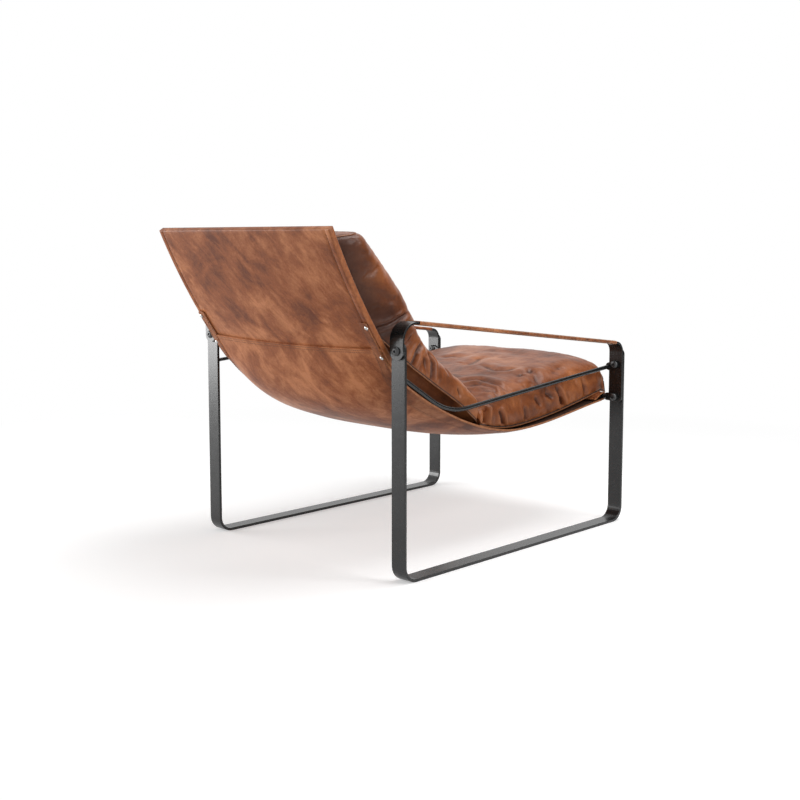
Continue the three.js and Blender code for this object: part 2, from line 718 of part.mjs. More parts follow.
// The face that the cushion rests on: in front of the hems, then along the hanging seat
function cushionLine() {
  const out = -hemDepth / 2 - softGap;
  const bend = backPoint(out, 0);
  const low = new THREE.Vector2(slingLow.x, slingLow.y + 2 * softGap);
  const rearSpan = bend.y - low.y;
  const rear = bezier(bend, backPoint(out, -50), new THREE.Vector2(low.x + rearSpan * 1.05, low.y), low, 20);
  const front = new THREE.Vector2(frontFace - cushionOverhang, lowerBoltHeight + frontBarDiameter + 7);
  const frontSpan = (low.x - front.x) / 3;
  const frontHandle = new THREE.Vector2(low.x - frontSpan, low.y);
  const tipHandle = new THREE.Vector2(front.x + frontSpan, front.y - frontSpan * 0.24);
  const seat = bezier(low, frontHandle, tipHandle, front, 20);
  const back = [];
  for (let k = 0; k < 16; k += 1) {
    back.push(backPoint(out, (backLength - cushionTopGap) * (1 - k / 16)));
  }
  const line = [...back, ...rear, ...seat.slice(1)];
  const hangEnd = line.findIndex((p) => p.x < frontBarY + frontHemRun);
  return { line, hangStart: back.length, hangEnd };
}

// One puffy section between two lengths of the cushion line, with a sewn seam along each side: the
// bottom panel rises to it, and the top goes over from seam to seam. The shape's fullness and seam
// lists run at even steps from the first end to the last.
function cushionSection(fromLength, toLength, shape) {
  const { line, hangStart, hangEnd } = cushionLine();
  const lengths = lengthsAlong(line);
  const end = Math.min(toLength ?? Infinity, lengths[lengths.length - 1]);
  const swell = new THREE.SplineCurve(shape.fullness.map((f, i) => new THREE.Vector2(i, f * shape.thickness)));
  const seams = new THREE.SplineCurve(shape.seam.map((lift, i) => new THREE.Vector2(i, lift)));
  const seamStart = lengths[hangStart] - seamRise;
  const stations = 30;
  const rings = [];
  for (let s = 0; s <= stations; s += 1) {
    const share = (1 - Math.cos((Math.PI * s) / stations)) / 2;
    const length = THREE.MathUtils.lerp(fromLength, end, share);
    let i = 1;
    while (i < line.length - 1 && lengths[i] < length) {
      i += 1;
    }
    const blend = (length - lengths[i - 1]) / (lengths[i] - lengths[i - 1]);
    const base = line[i - 1].clone().lerp(line[i], blend);
    const outward = outwardAt(line, i - 1).lerp(outwardAt(line, i), blend).normalize();
    const fromEnd = Math.min(length - fromLength, end - length);
    const near = Math.min(fromEnd / (cushionEndThickness / 2), 1);
    const endOpen = length - fromLength < end - length ? shape.firstEnd : shape.lastEnd;
    const rounded = endOpen + (1 - endOpen) * Math.sqrt(1 - (1 - near) ** 2);
    const channel = shape.channel * Math.exp(-(((length - shape.channelAt) / 16) ** 2));
    const high = swell.getPoint(share).y * rounded * (1 - channel);
    const half = cushionWidth / 2 - cushionDrawIn * Math.sin(Math.PI * share) - 6 * (1 - rounded);
    const seamLift = seams.getPoint(share).y;
    const hang = (length - seamStart) / (lengths[hangEnd] - seamStart);
    const levelTop = Math.tan(lean) * Math.max(0, 1 - length / (backLength * 0.7));
    const ring = cushionProfile(shape, half, high, cushionCrown * rounded, seamLift).map(([x, lift]) => {
      const across = x / seatHalf;
      const bulge = bulgeAt(backLength - cushionTopGap - length) * (1 - across * across);
      const sag = (0.8 - (0.4 * lift) / (high + cushionCrown)) * (hang < 0 ? bulge : sagAcross(hang, across));
      const p = base.clone().addScaledVector(outward, sag - lift).addScaledVector(downBack, lift * levelTop);
      return new THREE.Vector3(x, p.x, p.y);
    });
    rings.push(ring);
  }
  return loft(rings);
}

// Points round one section as width and lift: over the top from the left seam to the right, then back
function cushionProfile(shape, half, high, crown, seamLift) {
  const turns = [0, 8, 16, 26, 38, 52, 66, 80].map(THREE.MathUtils.degToRad);
  const side = turns.map((angle) => [Math.cos(angle) ** shape.squareness, Math.sin(angle) ** shape.shoulder]);
  const top = [...side, [0.5, 1], [0.25, 1]];
  const over = [...top, [0, 1], ...top.toReversed().map(([x, lift]) => [-x, lift])];
  const points = over.map(([x, lift]) => [x * half, seamLift + (high + crown * (1 - x * x) - seamLift) * lift]);
  for (const x of [-0.9, -0.8, -0.4, 0, 0.4, 0.8, 0.9]) {
    points.push([x * half, seamLift * THREE.MathUtils.smoothstep(Math.abs(x), 0.8, 1)]);
  }
  return points;
}

function loft(rings) {
  const around = rings[0].length;
  const points = rings.flat();
  const last = (rings.length - 1) * around;
  const middle = (ring) => ring.reduce((sum, p) => sum.add(p), new THREE.Vector3()).divideScalar(around);
  points.push(middle(rings[0]), middle(rings[rings.length - 1]));
  const index = [];
  for (let k = 0; k < around; k += 1) {
    const next = (k + 1) % around;
    for (let s = 0; s < rings.length - 1; s += 1) {
      const a = s * around;
      const b = a + around;
      index.push(a + k, a + next, b + next, a + k, b + next, b + k);
    }
    index.push(points.length - 2, next, k, points.length - 1, last + k, last + next);
  }
  const geometry = new THREE.BufferGeometry().setFromPoints(points);
  geometry.setIndex(index);
  geometry.computeVertexNormals();
  return geometry;
}

function creaseLength() {
  const { line } = cushionLine();
  let length = 0;
  for (let i = 1; i < line.length && line[i].x > rearFace - creaseSetback; i += 1) {
    length += line[i].distanceTo(line[i - 1]);
  }
  return length;
}

for (const side of [-1, 1]) {
  const hand = side < 0 ? 'right' : 'left';
  addPiece(`${hand}_leg_frame`, legFrame(side), steel);
  addPiece(`${hand}_arm_bar`, armBar(side), steel);
  addPiece(`${hand}_arm_wrap`, armWrap(side), leather);
  addPiece(`${hand}_side_rail`, sideRail(side), steel);
  addPiece(`${hand}_standoff`, standoff(side), steel);
  const rearGrip = armThickness + legThickness + 3 * seatGap;
  addFastener(`${hand}_rear_arm`, side, rearBoltHeight, rearTabRear + seatGap, rearGrip);
  const railGrip = railLugThickness + armThickness + legThickness + 4 * seatGap;
  addFastener(`${hand}_front_upper`, side, upperBoltHeight, frontTabRear + railLugThickness + 2 * seatGap, railGrip);
  const barGrip = frontLugThickness + armThickness + legThickness + 4 * seatGap;
  addFastener(`${hand}_front_lower`, side, lowerBoltHeight, frontTabRear + frontLugThickness + 2 * seatGap, barGrip);
  addPiece(`${hand}_lower_sling_screw`, slingScrew(side, lowerScrewRise), bright);
  addPiece(`${hand}_upper_sling_screw`, slingScrew(side, upperScrewRise), bright);
}
addPiece('top_rail', topRail(), steel);
addPiece('front_bar', frontBar(), steel);
addPiece('back_panel', backPanel(), leather);
addPiece('seat_panel', seatPanel(), leather);

const crease = creaseLength();
const backShape = {
  thickness: backCushionThickness,
  fullness: [0.676, 0.824, 0.956, 1, 0.978, 0.86, 0.765, 0.647, 0.441],
  seam: [14, 15, 17, 26, 43, 50, 47, 36, 9],
  firstEnd: 0.97,
  lastEnd: 0.42,
  squareness: 0.15,
  shoulder: 0.24,
  channel: 0.08,
  channelAt: crease * 0.42,
};
const seatShape = {
  thickness: seatCushionThickness,
  fullness: [0.48, 0.827, 0.962, 1, 0.981, 0.923, 0.788],
  seam: [6, 7, 8],
  firstEnd: 0.42,
  lastEnd: 0.42,
  squareness: 0.2,
  shoulder: 0.32,
  channel: 0,
  channelAt: crease,
};
const backCushion = cushionSection(0, crease - softGap, backShape);
const seatCushion = cushionSection(crease + softGap, undefined, seatShape);
addPiece('back_cushion', backCushion, cushionLeather);
addPiece('seat_cushion', seatCushion, cushionLeather);

// The origin is on the floor under the middle of the whole chair
const box = new THREE.Box3().setFromObject(chair);
chair.position.y = -(box.min.y + box.max.y) / 2;
chair.updateMatrixWorld(true);

export default chair;
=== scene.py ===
import math
import bpy
import numpy as np
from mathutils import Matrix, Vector


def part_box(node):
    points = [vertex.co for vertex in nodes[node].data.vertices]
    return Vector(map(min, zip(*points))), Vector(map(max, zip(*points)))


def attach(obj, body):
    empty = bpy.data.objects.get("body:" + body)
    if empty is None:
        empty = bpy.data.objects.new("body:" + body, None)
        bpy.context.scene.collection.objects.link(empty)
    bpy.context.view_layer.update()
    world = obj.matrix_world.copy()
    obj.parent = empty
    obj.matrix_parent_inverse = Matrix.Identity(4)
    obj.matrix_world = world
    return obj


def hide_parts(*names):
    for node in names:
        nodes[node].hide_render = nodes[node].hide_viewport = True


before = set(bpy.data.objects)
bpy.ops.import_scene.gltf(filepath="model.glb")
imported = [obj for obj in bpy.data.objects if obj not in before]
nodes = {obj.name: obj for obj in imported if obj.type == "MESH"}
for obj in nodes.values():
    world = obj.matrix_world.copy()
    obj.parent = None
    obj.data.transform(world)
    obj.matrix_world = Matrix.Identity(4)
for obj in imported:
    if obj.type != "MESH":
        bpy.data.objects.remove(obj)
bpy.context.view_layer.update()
legLow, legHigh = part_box("left_leg_frame")
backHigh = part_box("back_panel")[1]
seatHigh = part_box("seat_panel")[1]
frontBarLow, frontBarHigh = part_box("front_bar")
midY = (legLow.y + legHigh.y) / 2          # middle of the side frames
rearFace = legHigh.y                       # rear face of the rear legs
frontFace = legLow.y
print("frame loaded:", len(nodes), "nodes")

scene = bpy.context.scene
scene.view_settings.view_transform = "Standard"
bpy.ops.object.select_all(action="DESELECT")


# camera at the photograph's viewing angle
cameraSpec = {
    "place": (-1.9248, 2.054, 0.7016),     # from the middle of the side frames
    "heading": -45.853,
    "pitch": -5.941,
    "lens": 36 * 1163.4 / 800,
    "shiftY": -0.05,
}


def makeCamera(spec):
    bpy.ops.object.camera_add()
    camera = bpy.context.object
    camera.name = "photo_camera"
    x, y, z = spec["place"]
    camera.location = (x, y + midY, z)
    heading, pitch = math.radians(spec["heading"]), math.radians(spec["pitch"])
    look = Vector((math.cos(pitch) * math.cos(heading), math.cos(pitch) * math.sin(heading), math.sin(pitch)))
    camera.rotation_mode = "QUATERNION"
    camera.rotation_quaternion = look.to_track_quat("-Z", "Y")
    camera.data.sensor_width = 36
    camera.data.lens = spec["lens"]
    camera.data.shift_y = spec["shiftY"]
    camera.data.clip_end = 60
    scene.camera = camera


makeCamera(cameraSpec)
print("camera placed")


# small helpers for node trees
def newTree(name):
    material = bpy.data.materials.new(name)
    material.use_nodes = True
    tree = material.node_tree
    return material, tree, tree.nodes["Principled BSDF"]


def addNode(tree, kind, inputs=None, **settings):
    node = tree.nodes.new(kind)
    for key, value in settings.items():
        setattr(node, key, value)
    for key, value in (inputs or {}).items():
        node.inputs[key].default_value = value
    return node


def colourRamp(tree, factor, stops):
    ramp = tree.nodes.new("ShaderNodeValToRGB")
    elements = ramp.color_ramp.elements
    while len(elements) < len(stops):
        elements.new(0.5)
    for element, (place, colour) in zip(elements, stops):
        element.position = place
        element.color = (*colour, 1)
    tree.links.new(factor, ramp.inputs["Fac"])
    return ramp.outputs["Color"]


def mixColour(tree, factor, a, b, blend="MIX"):
    mix = tree.nodes.new("ShaderNodeMix")
    mix.data_type = "RGBA"
    mix.blend_type = blend
    for index, value in ((0, factor), (6, a), (7, b)):
        if isinstance(value, bpy.types.NodeSocket):
            tree.links.new(value, mix.inputs[index])
        elif index == 0:
            mix.inputs[index].default_value = value
        else:
            mix.inputs[index].default_value = (*value, 1)
    return mix.outputs[2]


def mapRange(tree, value, low, high, toLow=0.0, toHigh=1.0):
    node = addNode(tree, "ShaderNodeMapRange", {1: low, 2: high, 3: toLow, 4: toHigh})
    tree.links.new(value, node.inputs[0])
    return node.outputs[0]


def objectNoise(tree, scale, detail=4.0, roughness=0.55, distortion=0.0):
    place = tree.nodes.new("ShaderNodeTexCoord")
    grain = addNode(tree, "ShaderNodeTexNoise",
                    {"Scale": scale, "Detail": detail, "Roughness": roughness, "Distortion": distortion})
    tree.links.new(place.outputs["Object"], grain.inputs["Vector"])
    return grain.outputs["Fac"]


def addBump(tree, height, strength, distance, below=None):
    bump = addNode(tree, "ShaderNodeBump", {"Strength": strength, "Distance": distance})
    tree.links.new(height, bump.inputs["Height"])
    if below is not None:
        tree.links.new(below, bump.inputs["Normal"])
    return bump.outputs["Normal"]


# waxed leather: cloudy pull-up tone with streaks along the hide, fine scratches, pale wear on
# ridges, painted shade in folds, hollows and under the cushions, and a pebbled grain
slingLeather = {
    "dark": (0.120, 0.030, 0.009),
    "middle": (0.255, 0.074, 0.022),
    "light": (0.470, 0.178, 0.072),
    "toneStops": (0.425, 0.495, 0.575),
    "cloudScale": 10.0,
    "streakAlong": (0.55, 0.35, 0.75),
    "streakSize": (0.080, 0.030, 0.030),
    "streakShare": 0.42,
    "grainScale": 620.0,
    "grainDepth": 0.0005,
    "waves": 0.16,
    "roughness": (0.38, 0.50),
    "specular": 0.20,
}
bandLeather = dict(
    slingLeather,
    dark=(0.105, 0.029, 0.011),
    middle=(0.215, 0.067, 0.024),
    light=(0.370, 0.145, 0.064),
)
cushionLeather = {
    "dark": (0.050, 0.013, 0.005),
    "middle": (0.215, 0.061, 0.018),
    "light": (0.390, 0.135, 0.047),
    "toneStops": (0.38, 0.495, 0.61),
    "cloudScale": 12.0,
    "streakAlong": (0.45, 0.75, 0.35),
    "streakSize": (0.075, 0.030, 0.030),
    "streakShare": 0.40,
    "grainScale": 560.0,
    "grainDepth": 0.0004,
    "waves": 0.09,
    "roughness": (0.32, 0.43),
    "specular": 0.28,
}


def streakNoise(tree, along, size, detail, distortion=0.0):
    place = tree.nodes.new("ShaderNodeTexCoord")
    turn = Vector(along).to_track_quat("X", "Z").to_euler()
    mapping = addNode(tree, "ShaderNodeMapping", {"Scale": size, "Rotation": turn}, vector_type="TEXTURE")
    tree.links.new(place.outputs["Object"], mapping.inputs["Vector"])
    grain = addNode(tree, "ShaderNodeTexNoise",
                    {"Scale": 1.0, "Detail": detail, "Roughness": 0.62, "Distortion": distortion})
    tree.links.new(mapping.outputs["Vector"], grain.inputs["Vector"])
    return grain.outputs["Fac"]


def leatherMaterial(name, spec):
    material, tree, shader = newTree(name)
    clouds = objectNoise(tree, spec["cloudScale"], detail=10, roughness=0.61, distortion=0.7)
    streaks = streakNoise(tree, spec["streakAlong"], spec["streakSize"], 8, 0.9)
    speckle = objectNoise(tree, 210.0, detail=4, roughness=0.7)
    tone = mixColour(tree, spec["streakShare"], clouds, streaks)
    tone = mixColour(tree, 0.40, tone, objectNoise(tree, spec["cloudScale"] * 0.36, detail=3, distortion=0.8))
    tone = mixColour(tree, 0.10, tone, speckle)
    colours = (spec["dark"], spec["middle"], spec["light"])
    colour = colourRamp(tree, tone, list(zip(spec["toneStops"], colours)))
    for along in ((0.70, 0.37, 0.60), (0.86, 0.10, 0.42)):
        lines = streakNoise(tree, along, (0.045, 0.0016, 0.0016), 2, 0.4)
        scratch = mapRange(tree, lines, 0.66, 0.78, 0, 0.26)
        colour = mixColour(tree, scratch, colour, spec["light"])
    ridge = addNode(tree, "ShaderNodeAttribute", attribute_name="ridge")
    fold = addNode(tree, "ShaderNodeAttribute", attribute_name="fold")
    colour = mixColour(tree, mapRange(tree, ridge.outputs["Fac"], 0, 1, 0, 0.42), colour, spec["light"])
    # painted shade: the fold attribute darkens creases, the cushions' bottom panels and the back pillow's
    # side by the hem
    colour = mixColour(tree, mapRange(tree, fold.outputs["Fac"], 0, 1, 0, 0.80), colour, spec["dark"])
    tree.links.new(colour, shader.inputs["Base Color"])
    low, high = spec["roughness"]
    tree.links.new(mapRange(tree, tone, 0.36, 0.66, high, low), shader.inputs["Roughness"])
    shader.inputs["Specular IOR Level"].default_value = spec["specular"]
    place = tree.nodes.new("ShaderNodeTexCoord")
    pebble = addNode(tree, "ShaderNodeTexVoronoi", {"Scale": spec["grainScale"]}, feature="SMOOTH_F1")
    tree.links.new(place.outputs["Object"], pebble.inputs["Vector"])
    creasing = objectNoise(tree, 75.0, detail=4, roughness=0.6, distortion=1.4)
    waves = addBump(tree, creasing, spec["waves"], 0.003)
    normal = addBump(tree, pebble.outputs["Distance"], 0.30, spec["grainDepth"], waves)
    tree.links.new(normal, shader.inputs["Normal"])
    return material


# cut edges and piping: lighter, more even leather
def trimMaterial(name, dark, light, roughness):
    material, tree, shader = newTree(name)
    tone = objectNoise(tree, 120.0, detail=4, roughness=0.6)
    colour = colourRamp(tree, tone, [(0.35, dark), (0.65, light)])
    tree.links.new(colour, shader.inputs["Base Color"])
    shader.inputs["Roughness"].default_value = roughness
    tree.links.new(addBump(tree, objectNoise(tree, 900.0, detail=2), 0.2, 0.0004), shader.inputs["Normal"])
    return material


def steelMaterial(name, dark, light, roughness, metallic):
    material, tree, shader = newTree(name)
    tone = objectNoise(tree, 55.0, detail=4, roughness=0.6)
    tree.links.new(colourRamp(tree, tone, [(0.35, dark), (0.65, light)]), shader.inputs["Base Color"])
    shader.inputs["Metallic"].default_value = metallic
    gloss = mapRange(tree, tone, 0.3, 0.7, roughness - 0.01, roughness + 0.01)
    tree.links.new(gloss, shader.inputs["Roughness"])
    return material


backLeatherSkin = leatherMaterial("sling_leather", slingLeather)
bandSkin = leatherMaterial("edge_band_leather", bandLeather)
cushionSkin = leatherMaterial("cushion_leather", cushionLeather)
rawEdge = trimMaterial("raw_leather_edge", (0.24, 0.080, 0.025), (0.38, 0.145, 0.052), 0.55)
hemEdge = trimMaterial("hem_edge_leather", (0.25, 0.070, 0.016), (0.37, 0.115, 0.030), 0.50)
pipingSkin = trimMaterial("piping_leather", (0.20, 0.068, 0.024), (0.34, 0.130, 0.050), 0.42)
# painted shade: a near-black line that stands in for the shadow in the seams' crevices
seamShadowSkin = trimMaterial("seam_shadow_line", (0.020, 0.008, 0.005), (0.036, 0.014, 0.008), 0.6)
# painted shade: a near-black skin for the back pillow's hidden bottom and the seat sling's face under the
# cushion, standing in for the shade there
underShadeSkin = trimMaterial("painted_shade_underside", (0.022, 0.009, 0.005), (0.045, 0.018, 0.009), 0.5)
threadSkin = trimMaterial("sewing_thread", (0.10, 0.042, 0.022), (0.17, 0.078, 0.042), 0.7)
laceSkin = trimMaterial("lacing_thread", (0.36, 0.235, 0.150), (0.52, 0.370, 0.250), 0.7)
liningSkin = trimMaterial("black_lining", (0.010, 0.010, 0.011), (0.022, 0.022, 0.024), 0.42)
frameSteel = steelMaterial("satin_black_steel", (0.006, 0.0063, 0.0066), (0.010, 0.0104, 0.0108), 0.27, 0.0)
boltSteel = steelMaterial("dark_bolt_steel", (0.040, 0.041, 0.042), (0.070, 0.071, 0.072), 0.34, 0.5)
brightSteel = steelMaterial("bright_screw_steel", (0.42, 0.42, 0.41), (0.56, 0.56, 0.55), 0.26, 1.0)
print("materials made")

# the steel parts are the solids themselves, with better finishes
for name, node in nodes.items():
    finish = frameSteel
    if "bolt" in name or "nut" in name:
        finish = boltSteel
    if "screw" in name:
        finish = brightSteel
    node.data.materials.clear()
    node.data.materials.append(finish)


# lines of the sling in depth and height, as the solids were drawn
slingSpec = {
    "backAngle": math.radians(31.8),
    "backLength": 0.334,
    "baseSetback": 0.020,
    "baseHeight": 0.440,
    "hemDepth": 0.014,
    "hemWidth": 0.016,
    "webThickness": 0.0045,
    "seatThickness": 0.0035,
    "seamRise": 0.058,
    "earRise": 0.125,
    "backBow": 0.010,
    "backBulge": 0.012,
    "lowSetback": 0.433,
    "lowHeight": 0.268,
    "sag": 0.054,
    "sagShape": (1, 0.81, 0.5, 0.31, 0.14, 0),   # from the seam to the front bar, after the seam's own bulge
    "rearDrop": 0.050,
    "rearReach": 1.05,
    "frontHemRun": 0.038,
    "gap": 0.0003,
}
upBack = np.array([math.sin(slingSpec["backAngle"]), math.cos(slingSpec["backAngle"])])
outBack = np.array([math.cos(slingSpec["backAngle"]), -math.sin(slingSpec["backAngle"])])
backBase = np.array([rearFace - slingSpec["baseSetback"], slingSpec["baseHeight"]])
slingHalf = backHigh.x
seatHalf = seatHigh.x
frontBarAt = np.array([(frontBarLow.y + frontBarHigh.y) / 2, (frontBarLow.z + frontBarHigh.z) / 2])
frontBarRadius = (frontBarHigh.y - frontBarLow.y) / 2
lapOut = slingSpec["hemDepth"] / 2 + slingSpec["gap"]
slingLow = np.array([rearFace - slingSpec["lowSetback"], slingSpec["lowHeight"]])


# the back is bowed to the rear, and its leather bulges between the rails
def bowAt(rise):
    return slingSpec["backBow"] * (1 - (2 * rise / slingSpec["backLength"] - 1) ** 2)


def bulgeAt(rise):
    share = 1 - rise / (slingSpec["backLength"] - slingSpec["hemDepth"])
    return slingSpec["backBulge"] * np.maximum(share, 0) ** 1.3


def smoothCurve(values, share):
    knots = np.array([values[0], *values, values[-1]], float)
    place = np.clip(share, 0, 1) * (len(values) - 1)
    i = np.minimum(np.asarray(place).astype(int), len(values) - 2)
    t = place - i
    a, b, c, d = knots[i], knots[i + 1], knots[i + 2], knots[i + 3]
    square = (2 * a - 5 * b + 4 * c - d) * t ** 2
    cube = (3 * b - a - 3 * c + d) * t ** 3
    return 0.5 * (2 * b + (c - a) * t + square + cube)


def smoothStep(value, low, high):
    t = np.clip((value - low) / (high - low), 0, 1)
    return t * t * (3 - 2 * t)


def sagAt(share):
    values = [bulgeAt(slingSpec["seamRise"])] + [slingSpec["sag"] * part for part in slingSpec["sagShape"]]
    return smoothCurve(values, share)


def sagAcross(share, across):
    power = 2 + 2 * smoothStep(share, 0, 0.12)
    return sagAt(share) * (1 - np.abs(across) ** power)


def backPoint(out, rise):
    return backBase + (out + bowAt(rise)) * outBack + rise * upBack


def bezier(a, b, c, d, steps):
    t = np.linspace(0, 1, steps + 1)[:, None]
    return (1 - t) ** 3 * a + 3 * (1 - t) ** 2 * t * b + 3 * (1 - t) * t ** 2 * c + t ** 3 * d


def lengthsAlong(points):
    return np.concatenate([[0], np.cumsum(np.linalg.norm(np.diff(points, axis=0), axis=1))])


def outwardOf(points):
    along = np.gradient(points, axis=0)
    along /= np.linalg.norm(along, axis=1)[:, None]
    return np.stack([-along[:, 1], along[:, 0]], axis=1)


# upper face of the seat sling from the lap on the back, round the front bar to the end of its flap
def seatLine():
    lapRows, rearRows, frontRows, loopRows = 14, 60, 46, 10
    lapEnd = backPoint(lapOut, 0)
    rises = np.linspace(slingSpec["seamRise"], 0, lapRows, endpoint=False)
    lap = np.array([backPoint(lapOut, rise) for rise in rises])
    rearSpan = lapEnd[1] - slingLow[1]
    rearHandle = slingLow + [rearSpan * slingSpec["rearReach"], 0]
    rear = bezier(lapEnd, backPoint(lapOut, -slingSpec["rearDrop"]), rearHandle, slingLow, rearRows)
    loop = frontBarRadius + slingSpec["gap"]
    loopLow = frontBarAt - [0, loop]
    span = (slingLow[0] - loopLow[0]) / 3
    tangent = np.array([1, -0.1])
    front = bezier(slingLow, slingLow - [span, 0], loopLow + tangent * span, loopLow, frontRows)
    angles = -math.pi / 2 - math.pi * np.arange(1, loopRows) / loopRows
    turn = frontBarAt + loop * np.stack([np.cos(angles), np.sin(angles)], axis=1)
    loopTop = frontBarAt + [0, loop]
    run = slingSpec["frontHemRun"]
    flapEnd = loopLow + tangent * run + [0, 0.0025]
    flap = bezier(loopTop, loopTop + [run * 0.4, 0], flapEnd - tangent * run * 0.4, flapEnd, 10)
    line = np.concatenate([lap, rear, front[1:], turn, flap])
    hangEnd = lapRows + rearRows + 1 + frontRows
    lengths = lengthsAlong(line[:hangEnd])
    shares = np.concatenate([lengths / lengths[-1], np.ones(len(line) - hangEnd)])
    return line, shares, float(lengths[-1])


seatRun, seatShares, seatLength = seatLine()


def makePiece(name, points, faces, materials, faceMaterials=None):
    mesh = bpy.data.meshes.new(name)
    mesh.from_pydata([tuple(p) for p in points], [], faces)
    for material in materials:
        mesh.materials.append(material)
    if faceMaterials is not None:
        mesh.polygons.foreach_set("material_index", faceMaterials)
    mesh.update()
    piece = bpy.data.objects.new(name, mesh)
    scene.collection.objects.link(piece)
    return piece


def selectOnly(piece):
    bpy.ops.object.select_all(action="DESELECT")
    piece.select_set(True)
    bpy.context.view_layer.objects.active = piece


def smoothShade(piece, degrees):
    selectOnly(piece)
    bpy.ops.object.shade_smooth_by_angle(angle=math.radians(degrees))


def applyModifier(piece, kind, **settings):
    selectOnly(piece)
    modifier = piece.modifiers.new(kind.lower(), kind)
    for key, value in settings.items():
        setattr(modifier, key, value)
    bpy.ops.object.modifier_apply(modifier=modifier.name)


def outwardFaces(piece):
    selectOnly(piece)
    bpy.ops.object.mode_set(mode="EDIT")
    bpy.ops.mesh.select_all(action="SELECT")
    bpy.ops.mesh.normals_make_consistent(inside=False)
    bpy.ops.object.mode_set(mode="OBJECT")


# a closed sheet between two grids of points: leather faces with a raw cut edge, except along the first row
def sheetPiece(name, face, back, materials):
    rows, columns = face.shape[:2]
    count = rows * columns
    index = np.arange(count).reshape(rows, columns)
    a, b, c, d = index[:-1, :-1], index[1:, :-1], index[1:, 1:], index[:-1, 1:]
    upper = np.stack([a, b, c, d], axis=-1).reshape(-1, 4)
    lower = upper[:, ::-1] + count
    border = np.concatenate([index[0, :-1], index[:-1, -1], index[-1, :0:-1], index[:0:-1, 0]])
    after = np.roll(border, -1)
    rim = np.stack([border, after, after + count, border + count], axis=-1)
    faces = np.concatenate([upper, lower, rim])
    which = np.concatenate([np.full(len(upper), len(materials) - 1 if len(materials) > 2 else 0),
                            np.zeros(len(lower) + columns - 1, int), np.ones(len(rim) - columns + 1, int)])
    points = np.concatenate([face.reshape(-1, 3), back.reshape(-1, 3)])
    piece = makePiece(name, points, faces.tolist(), materials, which.tolist())
    outwardFaces(piece)
    return piece


def finishPiece(piece, slot, *replaced):
    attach(piece, "root")
    if replaced:
        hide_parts(*replaced)


# seat sling
def makeSeatSling():
    line, outward = seatRun, outwardOf(seatRun)
    across = np.linspace(-1, 1, 57)
    sag = sagAcross(seatShares[:, None], across[None])
    x = np.broadcast_to(across[None] * seatHalf, sag.shape)
    def sheetAt(depth):
        yz = line[:, None] + outward[:, None] * (sag + depth)[..., None]
        return np.concatenate([x[..., None], yz], axis=-1)
    face, back = sheetAt(0), sheetAt(slingSpec["seatThickness"])
    # the sling's face under the cushion gets the painted-shade underside skin
    piece = sheetPiece("seat_sling", face, back, [backLeatherSkin, rawEdge, underShadeSkin])
    smoothShade(piece, 50)
    finishPiece(piece, "sling_leather", "seat_panel")


makeSeatSling()
print("seat sling hung")


# back sleeve: a leather panel with hems at its sides and top, each round its rail
sleeveSpec = {
    "corner": 0.0030,
    "stitchInset": 0.0135,
    "grooveDepth": 0.0007,
    "grooveHalf": 0.0013,
    "flat": (0.640, 0.372),
}


def roundedProfile(recess):
    half, depth = slingHalf, slingSpec["hemDepth"] / 2
    hem, corner = slingSpec["hemWidth"], sleeveSpec["corner"]
    groove = half - sleeveSpec["stitchInset"]
    outline = []
    def arc(cx, cy, start):
        for k in range(5):
            angle = math.radians(start + 90 * k / 4)
            outline.append((cx + corner * math.cos(angle), cy + corner * math.sin(angle)))
    arc(half - corner, -depth + corner, -90)
    arc(half - corner, depth - corner, 0)
    for x in (groove + sleeveSpec["grooveHalf"], groove, groove - sleeveSpec["grooveHalf"]):
        outline.append((x, depth - (sleeveSpec["grooveDepth"] if x == groove else 0)))
    inner = groove - sleeveSpec["grooveHalf"]
    for x in np.linspace(inner, -inner, 62)[1:-1]:
        outline.append((x, depth))
    for x in (-groove + sleeveSpec["grooveHalf"], -groove, -groove - sleeveSpec["grooveHalf"]):
        outline.append((x, depth - (sleeveSpec["grooveDepth"] if x == -groove else 0)))
    arc(-half + corner, depth - corner, 90)
    arc(-half + corner, -depth + corner, 180)
    floor = -depth + recess
    outline.append((hem - half - 0.0015, -depth))
    outline.append((hem - half, -depth + min(recess, 0.0015)))
    outline.append((hem - half + 0.0005, floor))
    for x in np.linspace(hem - half, half - hem, 62)[1:-1]:
        outline.append((x, floor))
    outline.append((half - hem - 0.0005, floor))
    outline.append((half - hem, -depth + min(recess, 0.0015)))
    outline.append((half - hem + 0.0015, -depth))
    return np.array(outline)


def webBulge(rise):
    atSeam = bulgeAt(slingSpec["seamRise"])
    if rise >= slingSpec["seamRise"]:
        return bulgeAt(rise)
    return atSeam + 0.85 * (float(sagAt((slingSpec["seamRise"] - rise) / seatLength)) - atSeam)


